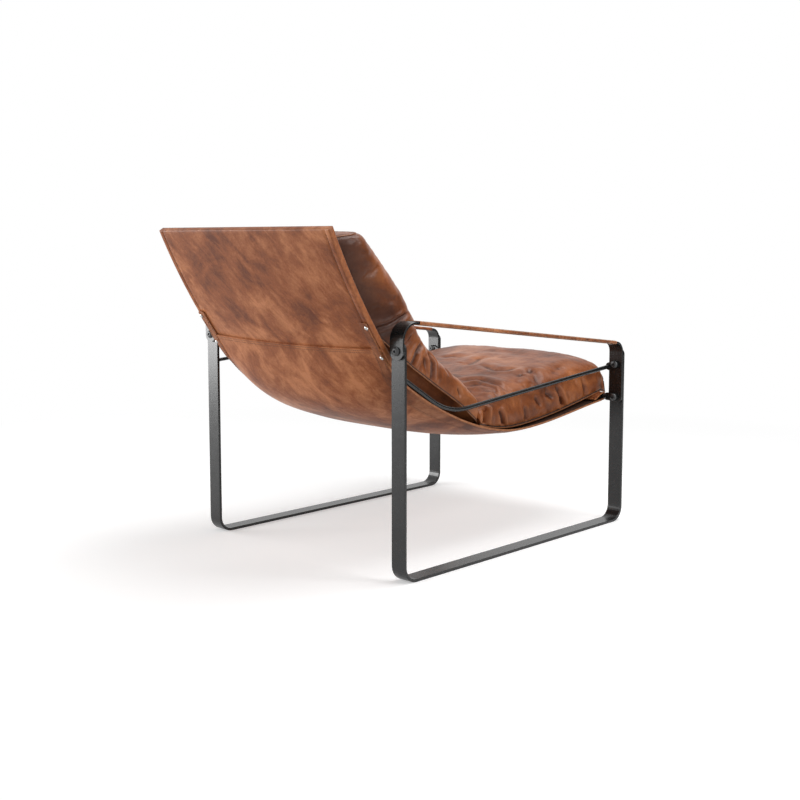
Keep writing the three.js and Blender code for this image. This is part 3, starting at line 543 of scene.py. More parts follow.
def makeBackSleeve():
    webHalf = seatHalf - 0.021
    depth, length = slingSpec["hemDepth"] / 2, slingSpec["backLength"]
    recess = slingSpec["hemDepth"] - slingSpec["webThickness"]
    webProfile, full = roundedProfile(recess), roundedProfile(0)
    corner = sleeveSpec["corner"]
    rows = [(rise, webProfile, 0) for rise in np.linspace(0, length - slingSpec["hemDepth"], 54)]
    rows += [(length - slingSpec["hemDepth"] + 0.001, full, 0), (length - corner, full, 0)]
    for k in range(1, 5):
        angle = math.radians(90 * k / 4)
        rows.append((length - corner + corner * math.sin(angle), full, corner * (1 - math.cos(angle))))
    points = []
    for rise, profile, inset in rows:
        x = np.clip(profile[:, 0], inset - slingHalf, slingHalf - inset)
        out = np.clip(profile[:, 1], inset - depth, depth - inset)
        for px, po in zip(x, out):
            bulge = webBulge(rise) * max(0, 1 - (px / webHalf) ** 2)
            y, z = backPoint(po + bulge, rise)
            points.append((px, y, z))
    count, rings = len(webProfile), len(rows)
    faces, which = [], []
    for r in range(rings - 1):
        for k in range(count):
            after = (k + 1) % count
            faces.append((r * count + k, r * count + after, (r + 1) * count + after, (r + 1) * count + k))
            across, out = (webProfile[k] + webProfile[after]) / 2
            onSide = abs(across) > slingHalf - corner * 0.6
            within = abs(across) < slingHalf - slingSpec["hemWidth"]
            inside = out < -depth + corner * 0.8 or within and out < depth - 0.001
            which.append(2 if inside else 1 if onSide else 0)
    faces.append(tuple(range(count)))
    faces.append(tuple((rings - 1) * count + k for k in range(count)))
    which += [0, 0]
    piece = makePiece("back_sleeve", points, faces, [backLeatherSkin, hemEdge, liningSkin], which)
    outwardFaces(piece)
    smoothShade(piece, 40)
    finishPiece(piece, "sling_leather", "back_panel")


makeBackSleeve()
print("back sleeve fitted")


# edge strips: each starts as the ear that laps the hem and runs along the seat's edge to the front
stripSpec = {
    "width": 0.026,
    "earWidth": 0.020,
    "earThickness": 0.0030,
    "thickness": 0.0007,
    "edgeGap": 0.0003,
}


def outerFace(share, x):
    return sagAcross(share, x / seatHalf) + slingSpec["seatThickness"] + 0.0002


def makeEdgeStrip(name, side):
    columns = np.linspace(0, 1, 7)
    outward = outwardOf(seatRun)
    inner, outer = [], []

    def addRow(base, out, width, low, thickness, inset):
        x = side * (seatHalf - stripSpec["edgeGap"] - inset - (width - 2 * inset) * columns)
        under = low(x)
        for grid, depth in ((inner, under), (outer, under + thickness)):
            grid.append(np.concatenate([x[:, None], base + out * depth[:, None]], axis=1))

    roundEnd = slingSpec["earRise"] - 0.001 * np.array([0, 0.7, 2, 4])
    straight = np.linspace(slingSpec["earRise"] - 0.007, slingSpec["seamRise"] + 0.004, 14)
    for rise in np.concatenate([roundEnd, straight]):
        t = min((slingSpec["earRise"] - rise) / 0.006, 1)
        inset = 0.006 * (1 - math.sqrt(1 - (1 - t) ** 2))
        addRow(backPoint(0, rise), outBack, stripSpec["earWidth"], lambda x: np.full(len(x), lapOut),
               stripSpec["earThickness"], inset)
    for i in range(1, len(seatRun)):
        if seatShares[i] >= 0.995:
            break
        grow = smoothStep(seatShares[i], 0.01, 0.10)
        width = stripSpec["earWidth"] + (stripSpec["width"] - stripSpec["earWidth"]) * float(grow)
        addRow(seatRun[i], outward[i], width, lambda x: outerFace(seatShares[i], x),
               stripSpec["thickness"], 0)
    inner, outer = np.array(inner), np.array(outer)
    piece = sheetPiece(name, inner, outer, [bandSkin, rawEdge])
    smoothShade(piece, 50)
    finishPiece(piece, "sling_leather")
    return outer


stripFaces = {hand: makeEdgeStrip(f"{hand}_edge_strip", side) for hand, side in (("right", -1), ("left", 1))}
print("edge strips sewn on")


# arm wraps: leather sleeves round the arm bars, laced along their outer edges
wrapSpec = {
    "thickness": 0.0086,
    "barHalf": (0.0191, 0.0026),
    "corner": 0.0040,
    "stations": 60,
    "lacePitch": 0.0054,
    "laceRadius": 0.0009,
}


def makeArmWrap(hand, side):
    low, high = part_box(f"{hand}_arm_wrap")
    deep, tall, thick = high.y - low.y, high.z - low.z, wrapSpec["thickness"]
    slope = math.atan2(tall - thick, deep)
    for step in range(6):
        length = (deep - thick * math.sin(slope)) / math.cos(slope)
        slope = math.asin((tall - thick * math.cos(slope)) / length)
    middle = np.array((low + high) / 2)
    along = np.array([0, math.cos(slope), math.sin(slope)])
    up = np.array([0, -math.sin(slope), math.cos(slope)])
    half, corner = (high.x - low.x) / 2, wrapSpec["corner"]

    def loop(halfX, halfZ, radius):
        points = []
        for cx, cz, start in ((1, 1, 0), (-1, 1, 90), (-1, -1, 180), (1, -1, 270)):
            for k in range(6):
                angle = math.radians(start + 90 * k / 5)
                x = cx * (halfX - radius) + radius * math.cos(angle)
                z = cz * (halfZ - radius) + radius * math.sin(angle)
                points.append((x, z))
        return np.array(points)

    outer = loop(half, thick / 2, corner)
    inner = loop(*wrapSpec["barHalf"], 0.0005)
    stations = np.linspace(-length / 2, length / 2, wrapSpec["stations"])
    rings = [(stations[0], inner), (stations[0], outer * (0.985, 0.86)), (stations[0] + 0.0008, outer)]
    rings += [(station, outer) for station in stations[1:-1]]
    rings += [(stations[-1] - 0.0008, outer), (stations[-1], outer * (0.985, 0.86)), (stations[-1], inner)]
    points = [middle + along * place + up * z + (x, 0, 0) for place, ring in rings for x, z in ring]
    count = len(outer)
    faces = []
    for r in range(len(rings)):
        after = (r + 1) % len(rings)
        for k in range(count):
            other = (k + 1) % count
            faces.append((r * count + k, r * count + other, after * count + other, after * count + k))
    piece = makePiece(f"{hand}_arm_sleeve", points, faces, [backLeatherSkin])
    outwardFaces(piece)
    smoothShade(piece, 50)
    finishPiece(piece, "sling_leather", f"{hand}_arm_wrap")
    laces = []
    for place in np.arange(-length / 2 + 0.004, length / 2 - 0.008, wrapSpec["lacePitch"]):
        run = []
        for lean, x, z in ((0, half - 0.0032, -thick / 2), (0.0014, half - 0.0006, -thick * 0.33),
                           (0.0034, half - 0.0006, thick * 0.33), (0.0048, half - 0.0032, thick / 2)):
            run.append(middle + along * (place + lean) + up * z + (side * x, 0, 0))
        laces.append(np.array(run))
    threadPiece(f"{hand}_arm_lacing", laces, wrapSpec["laceRadius"], laceSkin)


# many short stitches as one piece: each a thin five-sided run with narrow ends
def threadPiece(name, runs, radius, material):
    points, faces = [], []
    turn = np.linspace(0, 2 * math.pi, 5, endpoint=False)
    for run in runs:
        ahead = np.gradient(run, axis=0)
        ahead /= np.linalg.norm(ahead, axis=1)[:, None]
        side = np.cross(ahead, (0.31, 0.17, 0.93))
        side /= np.linalg.norm(side, axis=1)[:, None]
        up = np.cross(side, ahead)
        start = len(points)
        for i, place in enumerate(run):
            size = radius * (0.55 if i in (0, len(run) - 1) else 1)
            for angle in turn:
                points.append(place + size * (math.cos(angle) * side[i] + math.sin(angle) * up[i]))
        for i in range(len(run) - 1):
            for k in range(5):
                after = (k + 1) % 5
                a, b = start + 5 * i + k, start + 5 * i + after
                faces.append((a, b, b + 5, a + 5))
        faces.append(tuple(start + k for k in range(5)))
        faces.append(tuple(start + 5 * (len(run) - 1) + k for k in range(5)))
    piece = makePiece(name, points, faces, [material])
    outwardFaces(piece)
    smoothShade(piece, 60)
    finishPiece(piece, "sling_leather")


stitchSpec = {"pitch": 0.0062, "length": 0.0046, "radius": 0.00045}


# cuts a path into stitches that dip into the leather at both ends
def stitchRuns(path, normals):
    lengths = lengthsAlong(path)
    runs = []
    for place in np.arange(stitchSpec["pitch"], lengths[-1] - stitchSpec["pitch"], stitchSpec["pitch"]):
        run = []
        for share, lift in ((-0.5, -0.0003), (-0.25, 0.0002), (0.25, 0.0002), (0.5, -0.0003)):
            at = place + share * stitchSpec["length"]
            point = np.array([np.interp(at, lengths, path[:, k]) for k in range(3)])
            normal = np.array([np.interp(at, lengths, normals[:, k]) for k in range(3)])
            run.append(point + lift * normal / np.linalg.norm(normal))
        runs.append(np.array(run))
    return runs


def sewSling():
    runs = []
    outward = outwardOf(seatRun)
    lengths = lengthsAlong(seatRun)
    reach = seatHalf - stripSpec["earWidth"] - 0.003
    wide = np.linspace(-reach, reach, 60)
    for down in (0.004, 0.0095):
        base = np.array([np.interp(down, lengths, seatRun[:, k]) for k in (0, 1)])
        depth = outerFace(down / seatLength, wide)
        path = np.concatenate([wide[:, None], base + outBack * depth[:, None]], axis=1)
        runs += stitchRuns(path, np.tile([0, *outBack], (len(path), 1)))
    depth, length = slingSpec["hemDepth"] / 2, slingSpec["backLength"]
    for side in (-1, 1):
        rises = np.linspace(0.135, length - 0.006, 40)
        x = side * (slingHalf - sleeveSpec["stitchInset"])
        path = np.array([(x, *backPoint(depth - 0.0003, rise)) for rise in rises])
        runs += stitchRuns(path, np.tile([0, *outBack], (len(path), 1)))
    for outer in stripFaces.values():
        normals = np.cross(np.gradient(outer, axis=0), np.gradient(outer, axis=1))
        if normals[20, 3, 1] < 0:
            normals = -normals
        for column in (1, 5):
            runs += stitchRuns(outer[4:, column], normals[4:, column])
    threadPiece("sling_stitching", runs, stitchSpec["radius"], threadSkin)


for hand, side in (("right", -1), ("left", 1)):
    makeArmWrap(hand, side)
print("arms wrapped")
sewSling()
print("sling stitched")


# the line that the cushions rest on: in front of the hems, then along the hanging seat
cushionSpec = {
    "halfWidth": 0.264,
    "drawIn": 0.009,
    "overhang": 0.014,
    "topGap": 0.008,
    "creaseSetback": 0.306,
    "crown": 0.016,
    "endRadius": 0.029,
    "softGap": 0.001,
    "edgeRoll": 0.038,
    "topShear": 0.36,                      # leans the top end back from square towards level
    "frontDrop": 0.012,                    # the seat cushion's nose hangs over the front bar
    "pathPoints": 104,                     # points across the top and across the bottom of each ring
    "stations": 104,
    "capRows": 10,
    "endCrowding": 0.35,                   # share of the stations' spacing that closes up at the ends
    "pipingRadius": 0.0017,
    "weltDrop": 0.0026,
    "seamRadius": 0.0013,
}


def cushionLine():
    out = -slingSpec["hemDepth"] / 2 - cushionSpec["softGap"]
    topRise = slingSpec["backLength"] - cushionSpec["topGap"]
    back = np.array([backPoint(out, rise) for rise in np.linspace(topRise, 0, 60, endpoint=False)])
    bend, low = backPoint(out, 0), slingLow + [0, 2 * cushionSpec["softGap"]]
    rearHandle = low + [(bend[1] - low[1]) * slingSpec["rearReach"], 0]
    rear = bezier(bend, backPoint(out, -slingSpec["rearDrop"]), rearHandle, low, 90)
    front = np.array([frontFace - cushionSpec["overhang"], frontBarAt[1] + frontBarRadius + 0.006])
    span = (low[0] - front[0]) / 3
    seat = bezier(low, low - [span, 0], front + [span, -0.24 * span], front, 90)
    line = np.concatenate([back, rear, seat[1:]])
    hangEnd = int(np.argmax(line[:, 0] < frontBarAt[0] + slingSpec["frontHemRun"]))
    return line, len(back), hangEnd


restLine, hangFirst, hangLast = cushionLine()
restLengths = lengthsAlong(restLine)
restOutward = outwardOf(restLine)
creaseAt = float(np.interp(-(rearFace - cushionSpec["creaseSetback"]), -restLine[:, 0], restLengths))
cushionEnd = float(restLengths[-1])

# folds are drawn in millimetres: along the cushion, and over its top from the seam at its side;
# each is a run of points, its depth and its half width
backCushionSpec = {
    "span": (0.023, creaseAt - cushionSpec["softGap"]),
    "thickness": 0.133,
    "fullness": (0.676, 0.824, 0.956, 1, 0.978, 0.86, 0.765, 0.647, 0.441),
    "seam": (0.008, 0.009, 0.011, 0.024, 0.044, 0.050, 0.047, 0.036, 0.012),
    "tuckedIn": (0.030, 0.034, 0.032, 0.018, 0.004, 0, 0, 0, 0),      # side seam set in behind the swell
    "firstEnd": 0.97,
    "lastEnd": 0.42,
    "squareness": 0.15,
    "shoulder": 0.24,
    "pressure": 1.5,
    "spare": -0.012,
    "cap": 0.006,
    "seed": 5,
    "lumps": 0.0009,
    "cornerRound": 0.016,
    # painted shade on the side beside the hem, at full strength
    "edgeShade": 1.0,
    "tucks": (0.272,),
    # painted shade on the back pillow's bottom panel
    "bottomSkin": underShadeSkin,
    "sewnEnd": 0,
    "endSkin": pipingSkin,
    "folds": (
        (((262, 48), (269, 61), (274, 78)), 3.5, 4),
        (((254, 4), (264, 30), (274, 60), (282, 100)), 6.0, 5),
        (((387, 2), (384, 33), (397, 68)), 9.0, 7),
        (((419, 60), (447, 38), (457, 4)), 7.0, 7),
        (((412, 40), (438, 5)), 3.0, 5),
        (((548, 30), (566, 10)), 3.5, 6),
        (((500, 60), (520, 35)), 2.5, 7),
        (((300, 70), (345, 90), (380, 130)), 3.0, 9),
        (((330, 20), (338, 60)), 3.0, 7),
        (((60, 40), (110, 60), (160, 52)), 2.2, 14),
        (((170, 60), (215, 70), (240, 95)), 2.5, 10),
        (((280, 130), (288, 220), (279, 300), (286, 420)), 5.0, 6),
        (((600, 60), (604, 150), (598, 260)), 3.5, 8),
        (((430, 150), (452, 220), (447, 300)), 3.5, 10),
        (((350, 260), (372, 330), (360, 420)), 3.0, 11),
        (((120, 180), (150, 280), (140, 380)), 2.5, 16),
    ),
}
seatCushionSpec = {
    "span": (creaseAt + cushionSpec["softGap"], cushionEnd),
    "thickness": 0.101,
    "fullness": (0.48, 0.827, 0.962, 1, 0.981, 0.923, 0.788),
    "seam": (0.006, 0.007, 0.008),
    "tuckedIn": (0, 0, 0),
    "firstEnd": 0.42,
    "lastEnd": 0.74,
    "squareness": 0.20,
    "shoulder": 0.32,
    "pressure": 1.5,
    "spare": -0.012,
    "cap": 0.006,
    "seed": 8,
    "lumps": 0.0010,
    "cornerRound": 0.004,
    "edgeShade": 0.0,
    "tucks": (),
    "bottomSkin": liningSkin,
    "sewnEnd": -1,
    "endSkin": seamShadowSkin,
    "folds": (
        (((668, 50), (667, 28), (666, 2)), 13.5, 7),
        (((716, 40), (728, 26), (739, 2)), 8.1, 6),
        (((961, 62), (967, 27), (977, 0)), 10.8, 7),
        (((866, 56), (890, 22)), 4.7, 8),
        (((909, 55), (940, 33)), 6.1, 7),
        (((1060, 60), (1066, 4)), 3.4, 7),
        (((820, 40), (828, 3)), 4.1, 6),
        (((860, 310), (884, 291), (946, 308), (981, 300)), 5.1, 14),
        (((892, 265), (865, 196), (880, 174), (924, 155)), 4.7, 11),
        (((938, 145), (921, 117), (905, 88), (886, 86)), 6.8, 13),
        (((735, 215), (776, 172), (772, 132), (776, 96), (800, 76)), 5.5, 11),
        (((712, 175), (747, 143), (745, 101), (741, 70)), 4.7, 10),
        (((712, 120), (733, 91), (722, 60)), 3.8, 8),
        (((913, 423), (950, 397), (946, 350)), 3.8, 14),
        (((845, 121), (894, 126), (945, 138)), 4.2, 10),
        (((835, 95), (855, 77), (888, 77)), 3.8, 10),
        (((930, 88), (973, 91), (1029, 100), (1090, 93)), 2.4, 10),
        (((1010, 200), (1040, 280), (1030, 380)), 2.5, 17),
        (((700, 300), (760, 330), (820, 320)), 3.4, 14),
        (((690, 420), (750, 440), (800, 470)), 3.8, 13),
        (((980, 520), (1040, 540), (1085, 530)), 2.5, 13),
    ),
}


def evenly(path, count):
    lengths = lengthsAlong(path)
    places = np.linspace(0, lengths[-1], count)
    return np.stack([np.interp(places, lengths, path[:, k]) for k in range(path.shape[1])], axis=1), places


# one ring: the bottom panel from seam to seam, and the top panel over the same way
def cushionRing(spec, half, high, crown, seamLift, tuckedIn, count):
    x = np.linspace(tuckedIn - half, half - tuckedIn, count)
    bottom = np.stack([x, seamLift * smoothStep(np.abs(x) / (half - tuckedIn), 0.8, 1)], axis=1)
    angle = np.linspace(math.pi, 0, 900)
    c, n = np.cos(angle), np.clip(np.sin(angle), 0, 1)
    tx = half * np.sign(c) * np.abs(c) ** spec["squareness"]
    top = high + crown * (1 - (tx / half) ** 2)
    risen = n ** spec["shoulder"]
    lift = seamLift + (top - seamLift) * risen
    tx = tx - np.sign(c) * tuckedIn * (1 - risen) ** 2.2
    over, places = evenly(np.stack([tx, lift], axis=1), count)
    return bottom, over, places


def cushionRings(spec):
    count, stations = cushionSpec["pathPoints"] + 1, cushionSpec["stations"]
    first, last = spec["span"]
    seamStart = restLengths[hangFirst] - slingSpec["seamRise"]
    topRise = slingSpec["backLength"] - cushionSpec["topGap"]
    even = np.linspace(0, 1, stations + 1)
    bottoms, overs, places, along = [], [], [], []
    crowd = cushionSpec["endCrowding"]
    for share in crowd * (1 - np.cos(math.pi * even)) / 2 + (1 - crowd) * even:
        length = first + (last - first) * share
        base = np.array([np.interp(length, restLengths, restLine[:, k]) for k in (0, 1)])
        outward = np.array([np.interp(length, restLengths, restOutward[:, k]) for k in (0, 1)])
        outward /= np.linalg.norm(outward)
        near = min(min(length - first, last - length) / cushionSpec["endRadius"], 1)
        endOpen = spec["firstEnd"] if share < 0.5 else spec["lastEnd"]
        rounded = endOpen + (1 - endOpen) * math.sqrt(1 - (1 - near) ** 2)
        high = spec["thickness"] * float(smoothCurve(spec["fullness"], share)) * rounded
        half = cushionSpec["halfWidth"] - cushionSpec["drawIn"] * math.sin(math.pi * share)
        half -= spec["cornerRound"] * (1 - math.sqrt(1 - (1 - near) ** 2))
        seamLift, tuckedIn = (float(smoothCurve(spec[key], share)) for key in ("seam", "tuckedIn"))
        crown = cushionSpec["crown"] * rounded
        bottom, over, place = cushionRing(spec, half, high, crown, seamLift, tuckedIn, count)
        hang = (length - seamStart) / (restLengths[hangLast] - seamStart)
        level = cushionSpec["topShear"] * max(0, 1 - length / (0.7 * slingSpec["backLength"]))
        placed = []
        for path in (bottom, over):
            across = path[:, 0] / seatHalf
            bulge = sagAcross(hang, across) if hang > 0 else bulgeAt(topRise - length) * (1 - across ** 2)
            sag = (0.8 - 0.4 * path[:, 1] / (high + cushionSpec["crown"])) * bulge
            yz = base + outward * (sag - path[:, 1])[:, None] - upBack * (path[:, 1] * level)[:, None]
            past = smoothStep(frontBarAt[0] - 0.004 - yz[:, 0], 0, 0.030)
            yz[:, 1] -= cushionSpec["frontDrop"] * past
            placed.append(np.concatenate([path[:, :1], yz], axis=1))
        bottoms.append(placed[0])
        overs.append(placed[1])
        places.append(place)
        along.append(length)
    return np.array(bottoms), np.array(overs), np.array(places), np.array(along)


# closes the rings into one skin: rings of bottom and top points, and a small grid over each end
def closeCushion(name, bottoms, overs, materials):
    rings, count = bottoms.shape[:2]
    around = 2 * count - 2
    ring = np.concatenate([bottoms, overs[:, -2:0:-1]], axis=1)
    points = [ring.reshape(-1, 3)]
    faces, which = [], []
    for r in range(rings - 1):
        for k in range(around):
            after = (k + 1) % around
            faces.append((r * around + k, r * around + after, (r + 1) * around + after, (r + 1) * around + k))
            rolled = abs(bottoms[r, k, 0]) if k < count - 1 else math.inf
            which.append(1 if rolled < abs(bottoms[r, 0, 0]) - cushionSpec["edgeRoll"] else 0)
    total = rings * around
    rows = cushionSpec["capRows"]
    for r in (0, rings - 1):
        low = [r * around + k for k in range(count)]
        high = [low[0]] + [r * around + around - k for k in range(1, count - 1)] + [low[-1]]
        grid = [low]
        for j in range(1, rows):
            share = j / rows
            points.append((bottoms[r] * (1 - share) + overs[r] * share)[1:-1])
            grid.append([low[0]] + list(range(total, total + count - 2)) + [low[-1]])
            total += count - 2
        grid.append(high)
        for lower, upper in zip(grid[:-1], grid[1:]):
            for k in range(count - 1):
                faces.append(tuple(dict.fromkeys([lower[k], lower[k + 1], upper[k + 1], upper[k]])))
                which.append(0)
    piece = makePiece(name, np.concatenate(points), faces, materials, which)
    outwardFaces(piece)
    return piece


def readPoints(piece, what="co"):
    values = np.zeros(len(piece.data.vertices) * 3)
    if what == "co":
        piece.data.vertices.foreach_get("co", values)
    else:
        piece.data.vertex_normals.foreach_get("vector", values)
    return values.reshape(-1, 3)


def writePoints(piece, points):
    piece.data.vertices.foreach_set("co", np.asarray(points, float).ravel())
    piece.data.update()


def writeNumbers(piece, name, values):
    layer = piece.data.attributes.get(name) or piece.data.attributes.new(name, "FLOAT", "POINT")
    layer.data.foreach_set("value", np.asarray(values, np.float32))


def readNumbers(piece, name):
    values = np.zeros(len(piece.data.vertices), np.float32)
    piece.data.attributes[name].data.foreach_get("value", values)
    return values.astype(float)


# swells the skin like a stuffed cushion: seams and the resting face stay, the rest has spare leather
def puffUp(piece, held, spec):
    start = readPoints(piece)
    group = piece.vertex_groups.new(name="seams")
    group.add([int(v) for v in held], 1.0, "REPLACE")
    cloth = piece.modifiers.new("stuffing", "CLOTH")
    settings = cloth.settings
    settings.quality = 6
    settings.mass = 0.25
    settings.tension_stiffness = 12
    settings.compression_stiffness = 12
    settings.shear_stiffness = 6
    settings.bending_stiffness = 1.2
    settings.use_pressure = True
    settings.uniform_pressure_force = spec["pressure"]
    settings.shrink_min = spec["spare"]
    settings.vertex_group_mass = "seams"
    settings.effector_weights.gravity = 0
    cloth.collision_settings.use_self_collision = False
    cloth.collision_settings.use_collision = False
    cloth.point_cache.frame_start = 1
    cloth.point_cache.frame_end = 20
    for step in range(1, 21):
        scene.frame_set(step)
    selectOnly(piece)
    bpy.ops.object.modifier_apply(modifier=cloth.name)
    scene.frame_set(1)
    shift = readPoints(piece) - start
    reach = np.maximum(np.linalg.norm(shift, axis=1), 1e-9)
    writePoints(piece, start + shift * (spec["cap"] * np.tanh(reach / spec["cap"]) / reach)[:, None])
    piece.vertex_groups.clear()
    print(piece.name, "swelled by up to", round(float(reach.max()) * 1000, 1), "mm")


# how far a fold pulls the skin in at each place: a valley with a soft roll on each side
def foldDepth(places, run, depth, halfWidth):
    run = np.array(run, float)
    lengths = lengthsAlong(run)
    nearest = np.full(len(places), 1e9)
    share = np.zeros(len(places))
    for i in range(len(run) - 1):
        step = run[i + 1] - run[i]
        t = np.clip(((places - run[i]) @ step) / (step @ step), 0, 1)
        gap = np.linalg.norm(places - run[i] - t[:, None] * step, axis=1)
        closer = gap < nearest
        nearest = np.where(closer, gap, nearest)
        share = np.where(closer, (lengths[i] + t * (lengths[i + 1] - lengths[i])) / lengths[-1], share)
    fade = np.ones(len(places))
    if run[0, 1] > 8:
        fade *= smoothStep(share, 0, 0.3)
    if run[-1, 1] > 8:
        fade *= smoothStep(1 - share, 0, 0.3)
    valley = np.exp(-(nearest / halfWidth) ** 2)
    roll = np.exp(-((nearest - 2.1 * halfWidth) / (1.2 * halfWidth)) ** 2)
    return depth * fade * (valley - 0.42 * roll)


def addFolds(piece, spec):
    along, over, left = (readNumbers(piece, name) * 1000 for name in ("along", "over", "left"))
    onTop = (over > 0) & (left > 0)
    inward = np.zeros(len(along))
    right = np.stack([along, over], axis=1)[onTop]
    other = np.stack([along + 9, left + 2], axis=1)[onTop]
    pulled = np.zeros(len(right))
    for run, depth, halfWidth in spec["folds"]:
        pulled += foldDepth(right, run, depth, halfWidth)
        if max(point[1] for point in run) < 110:
            pulled += 0.85 * foldDepth(other, run, depth, halfWidth)
    u, v = right[:, 0], right[:, 1]
    warp = 14 * np.sin(u / 47 + 1.3) + 11 * np.sin(v / 39 + 0.4)
    lump = np.sin((u + warp) / 31 + 0.6) * np.sin((v - warp) / 37 + 1.9)
    lump += 0.6 * np.sin((0.8 * u - 0.6 * v + 1.4 * warp) / 17 + 0.8) * np.sin((0.5 * u + v) / 41)
    edge = smoothStep(np.minimum(v, left[onTop]), 0, 40)
    pulled += 1000 * spec["lumps"] * lump * edge * 0.6
    for length, reach, shift in ((u, v, 0), (u, left[onTop], 2.1)):      # small puckers along the side seams
        pucker = np.sin(length / 6.1 + 2.6 * np.sin(length / 37 + shift)) * np.sin(length / 53 + shift)
        pulled += 1.3 * pucker * np.exp(-reach / 17)
    inward[onTop] = pulled / 1000
    writePoints(piece, readPoints(piece) - readPoints(piece, "normal") * inward[:, None])


# worn ridges, and painted shade in folds, from how much the skin bends at each point; painted shade also goes
# under the cushions and beside the hem
def markBends(piece, edgeShade):
    mesh = piece.data
    ends = np.zeros(len(mesh.edges) * 2, int)
    mesh.edges.foreach_get("vertices", ends)
    a, b = ends[0::2], ends[1::2]
    points, normals = readPoints(piece), readPoints(piece, "normal")
    count = np.bincount(ends, minlength=len(points)).astype(float)

    def spread(values):
        total = np.zeros_like(values)
        np.add.at(total, a, values[b])
        np.add.at(total, b, values[a])
        return total / (count[:, None] if values.ndim > 1 else count)

    hollow = ((spread(points) - points) * normals).sum(axis=1)
    fine = hollow.copy()
    for step in range(5):
        fine = 0.5 * fine + 0.5 * spread(fine)
    wide = fine.copy()
    for step in range(14):
        wide = 0.5 * wide + 0.5 * spread(wide)
    mark = (fine + 2 * wide) * 1000
    along, over = readNumbers(piece, "along"), readNumbers(piece, "over")
    # painted shade on the back pillow's side near its lower seam, in the gap that the hem shades
    beside = edgeShade * (1 - smoothStep(over, 0.035, 0.115)) * (1 - smoothStep(along, 0.26, 0.36))
    # painted shade: the bottom panel darkens away from its seam, as if under the cushion
    below = smoothStep(-over, 0.004, 0.034) * smoothStep(along, -0.01, 0.0)     # not on the end caps
    shade = np.where(over < 0, below, beside)
    # the fold attribute carries painted shade: creases, the bottom panel and the gap by the hem
    writeNumbers(piece, "fold", np.maximum(smoothStep(mark, 0.05, 0.38), shade))
    writeNumbers(piece, "ridge", smoothStep(-mark, 0.10, 0.60))


# a cord along a run of points: sewn piping, or a dark line of painted shade at a seam
def tubePiece(name, path, radius, material, sides=8):
    ahead = np.gradient(path, axis=0)
    ahead /= np.linalg.norm(ahead, axis=1)[:, None]
    side = np.cross(ahead, (0.13, 0.21, 0.97))
    side /= np.linalg.norm(side, axis=1)[:, None]
    up = np.cross(side, ahead)
    turn = np.linspace(0, 2 * math.pi, sides, endpoint=False)
    around = np.cos(turn)[None, :, None] * side[:, None] + np.sin(turn)[None, :, None] * up[:, None]
    ring = path[:, None] + radius * around
    count = len(path)
    faces = []
    for r in range(count - 1):
        for k in range(sides):
            a, b = r * sides + k, r * sides + (k + 1) % sides
            faces.append((a, b, b + sides, a + sides))
    faces.append(tuple(range(sides)))
    faces.append(tuple((count - 1) * sides + k for k in range(sides)))
    piece = makePiece(name, ring.reshape(-1, 3), faces, [material])
    outwardFaces(piece)
    smoothShade(piece, 60)
    finishPiece(piece, "cushion_leather")


def buildCushion(name, spec, replaced):
    bottoms, overs, places, along = cushionRings(spec)
    piece = closeCushion(name, bottoms, overs, [cushionSkin, spec["bottomSkin"]])
    rings, count = bottoms.shape[:2]
    around = 2 * count - 2
    index = np.arange(rings * around).reshape(rings, around)
    held = np.concatenate([index[:, :count].ravel(), index[0], index[-1]])
    for tuck in spec["tucks"]:
        held = np.concatenate([held, index[int(np.argmin(np.abs(along - tuck)))]])
    total = len(piece.data.vertices)
    ringAlong, ringOver, ringLeft = (np.full(total, -0.05) for k in range(3))
    across = bottoms[:, :, 0]
    fromEdge = np.abs(across).max(axis=1, keepdims=True) - np.abs(across)
    topOver = places[:, -2:0:-1]
    ringAlong[:rings * around] = np.repeat(along, around)
    ringOver[:rings * around] = np.concatenate([-fromEdge, topOver], axis=1).ravel()
    ringLeft[:rings * around] = np.concatenate([-fromEdge, places[:, -1:] - topOver], axis=1).ravel()
    for label, values in (("along", ringAlong), ("over", ringOver), ("left", ringLeft)):
        writeNumbers(piece, label, values)
    jitter = np.random.default_rng(spec["seed"]).normal(0, 0.0003, (total, 3))
    jitter[held] = 0
    writePoints(piece, readPoints(piece) + jitter)
    puffUp(piece, held, spec)
    applyModifier(piece, "SUBSURF", levels=1, render_levels=1)
    addFolds(piece, spec)
    markBends(piece, spec["edgeShade"])
    smoothShade(piece, 180)
    finishPiece(piece, "cushion_leather", replaced)
    for label, at, side in (("right", 0, -1), ("left", -1, 1)):
        seam, above = bottoms[:, at], overs[:, 4 if at == 0 else -5]
        below = (seam - above) / np.linalg.norm(seam - above, axis=1)[:, None]
        # painted shade along each side seam, with the piping below it
        tubePiece(f"{name}_{label}_seam", seam + (side * 0.0004, 0, 0), cushionSpec["seamRadius"], seamShadowSkin)
        welt = seam + below * cushionSpec["weltDrop"] + (side * 0.0002, 0, 0)
        tubePiece(f"{name}_{label}_welt", welt, cushionSpec["pipingRadius"], pipingSkin)
    # end seam: piping on the back pillow, painted seam shadow on the seat pillow
    tubePiece(f"{name}_end_seam", overs[spec["sewnEnd"]], cushionSpec["seamRadius"], spec["endSkin"])


buildCushion("back_pillow", backCushionSpec, "back_cushion")
buildCushion("seat_pillow", seatCushionSpec, "seat_cushion")
print("cushions stuffed")


# floor and light
stageSpec = {
    "floorSize": 30.0,
    "floorTone": (0.80, 0.80, 0.80),
    "floorGlow": 0.36,
    "worldLight": 0.30,
}
lampSpec = {
    "left_softbox": {"place": (2.7, 1.9, 0.80), "aim": (0.0, 0.1, 0.4), "size": (2.0, 1.5), "power": 92},
    "top_softbox": {"place": (-0.6, -0.5, 2.7), "aim": (0.0, -0.1, 0.3), "size": (1.5, 1.5), "power": 40},
    "right_softbox": {"place": (-2.9, -0.7, 1.8), "aim": (0.0, 0.0, 0.4), "size": (1.4, 1.4), "power": 44},
}
flagSpec = {"place": (-2.3, -2.4, 1.1), "size": (4.2, 2.2), "tone": 0.03}


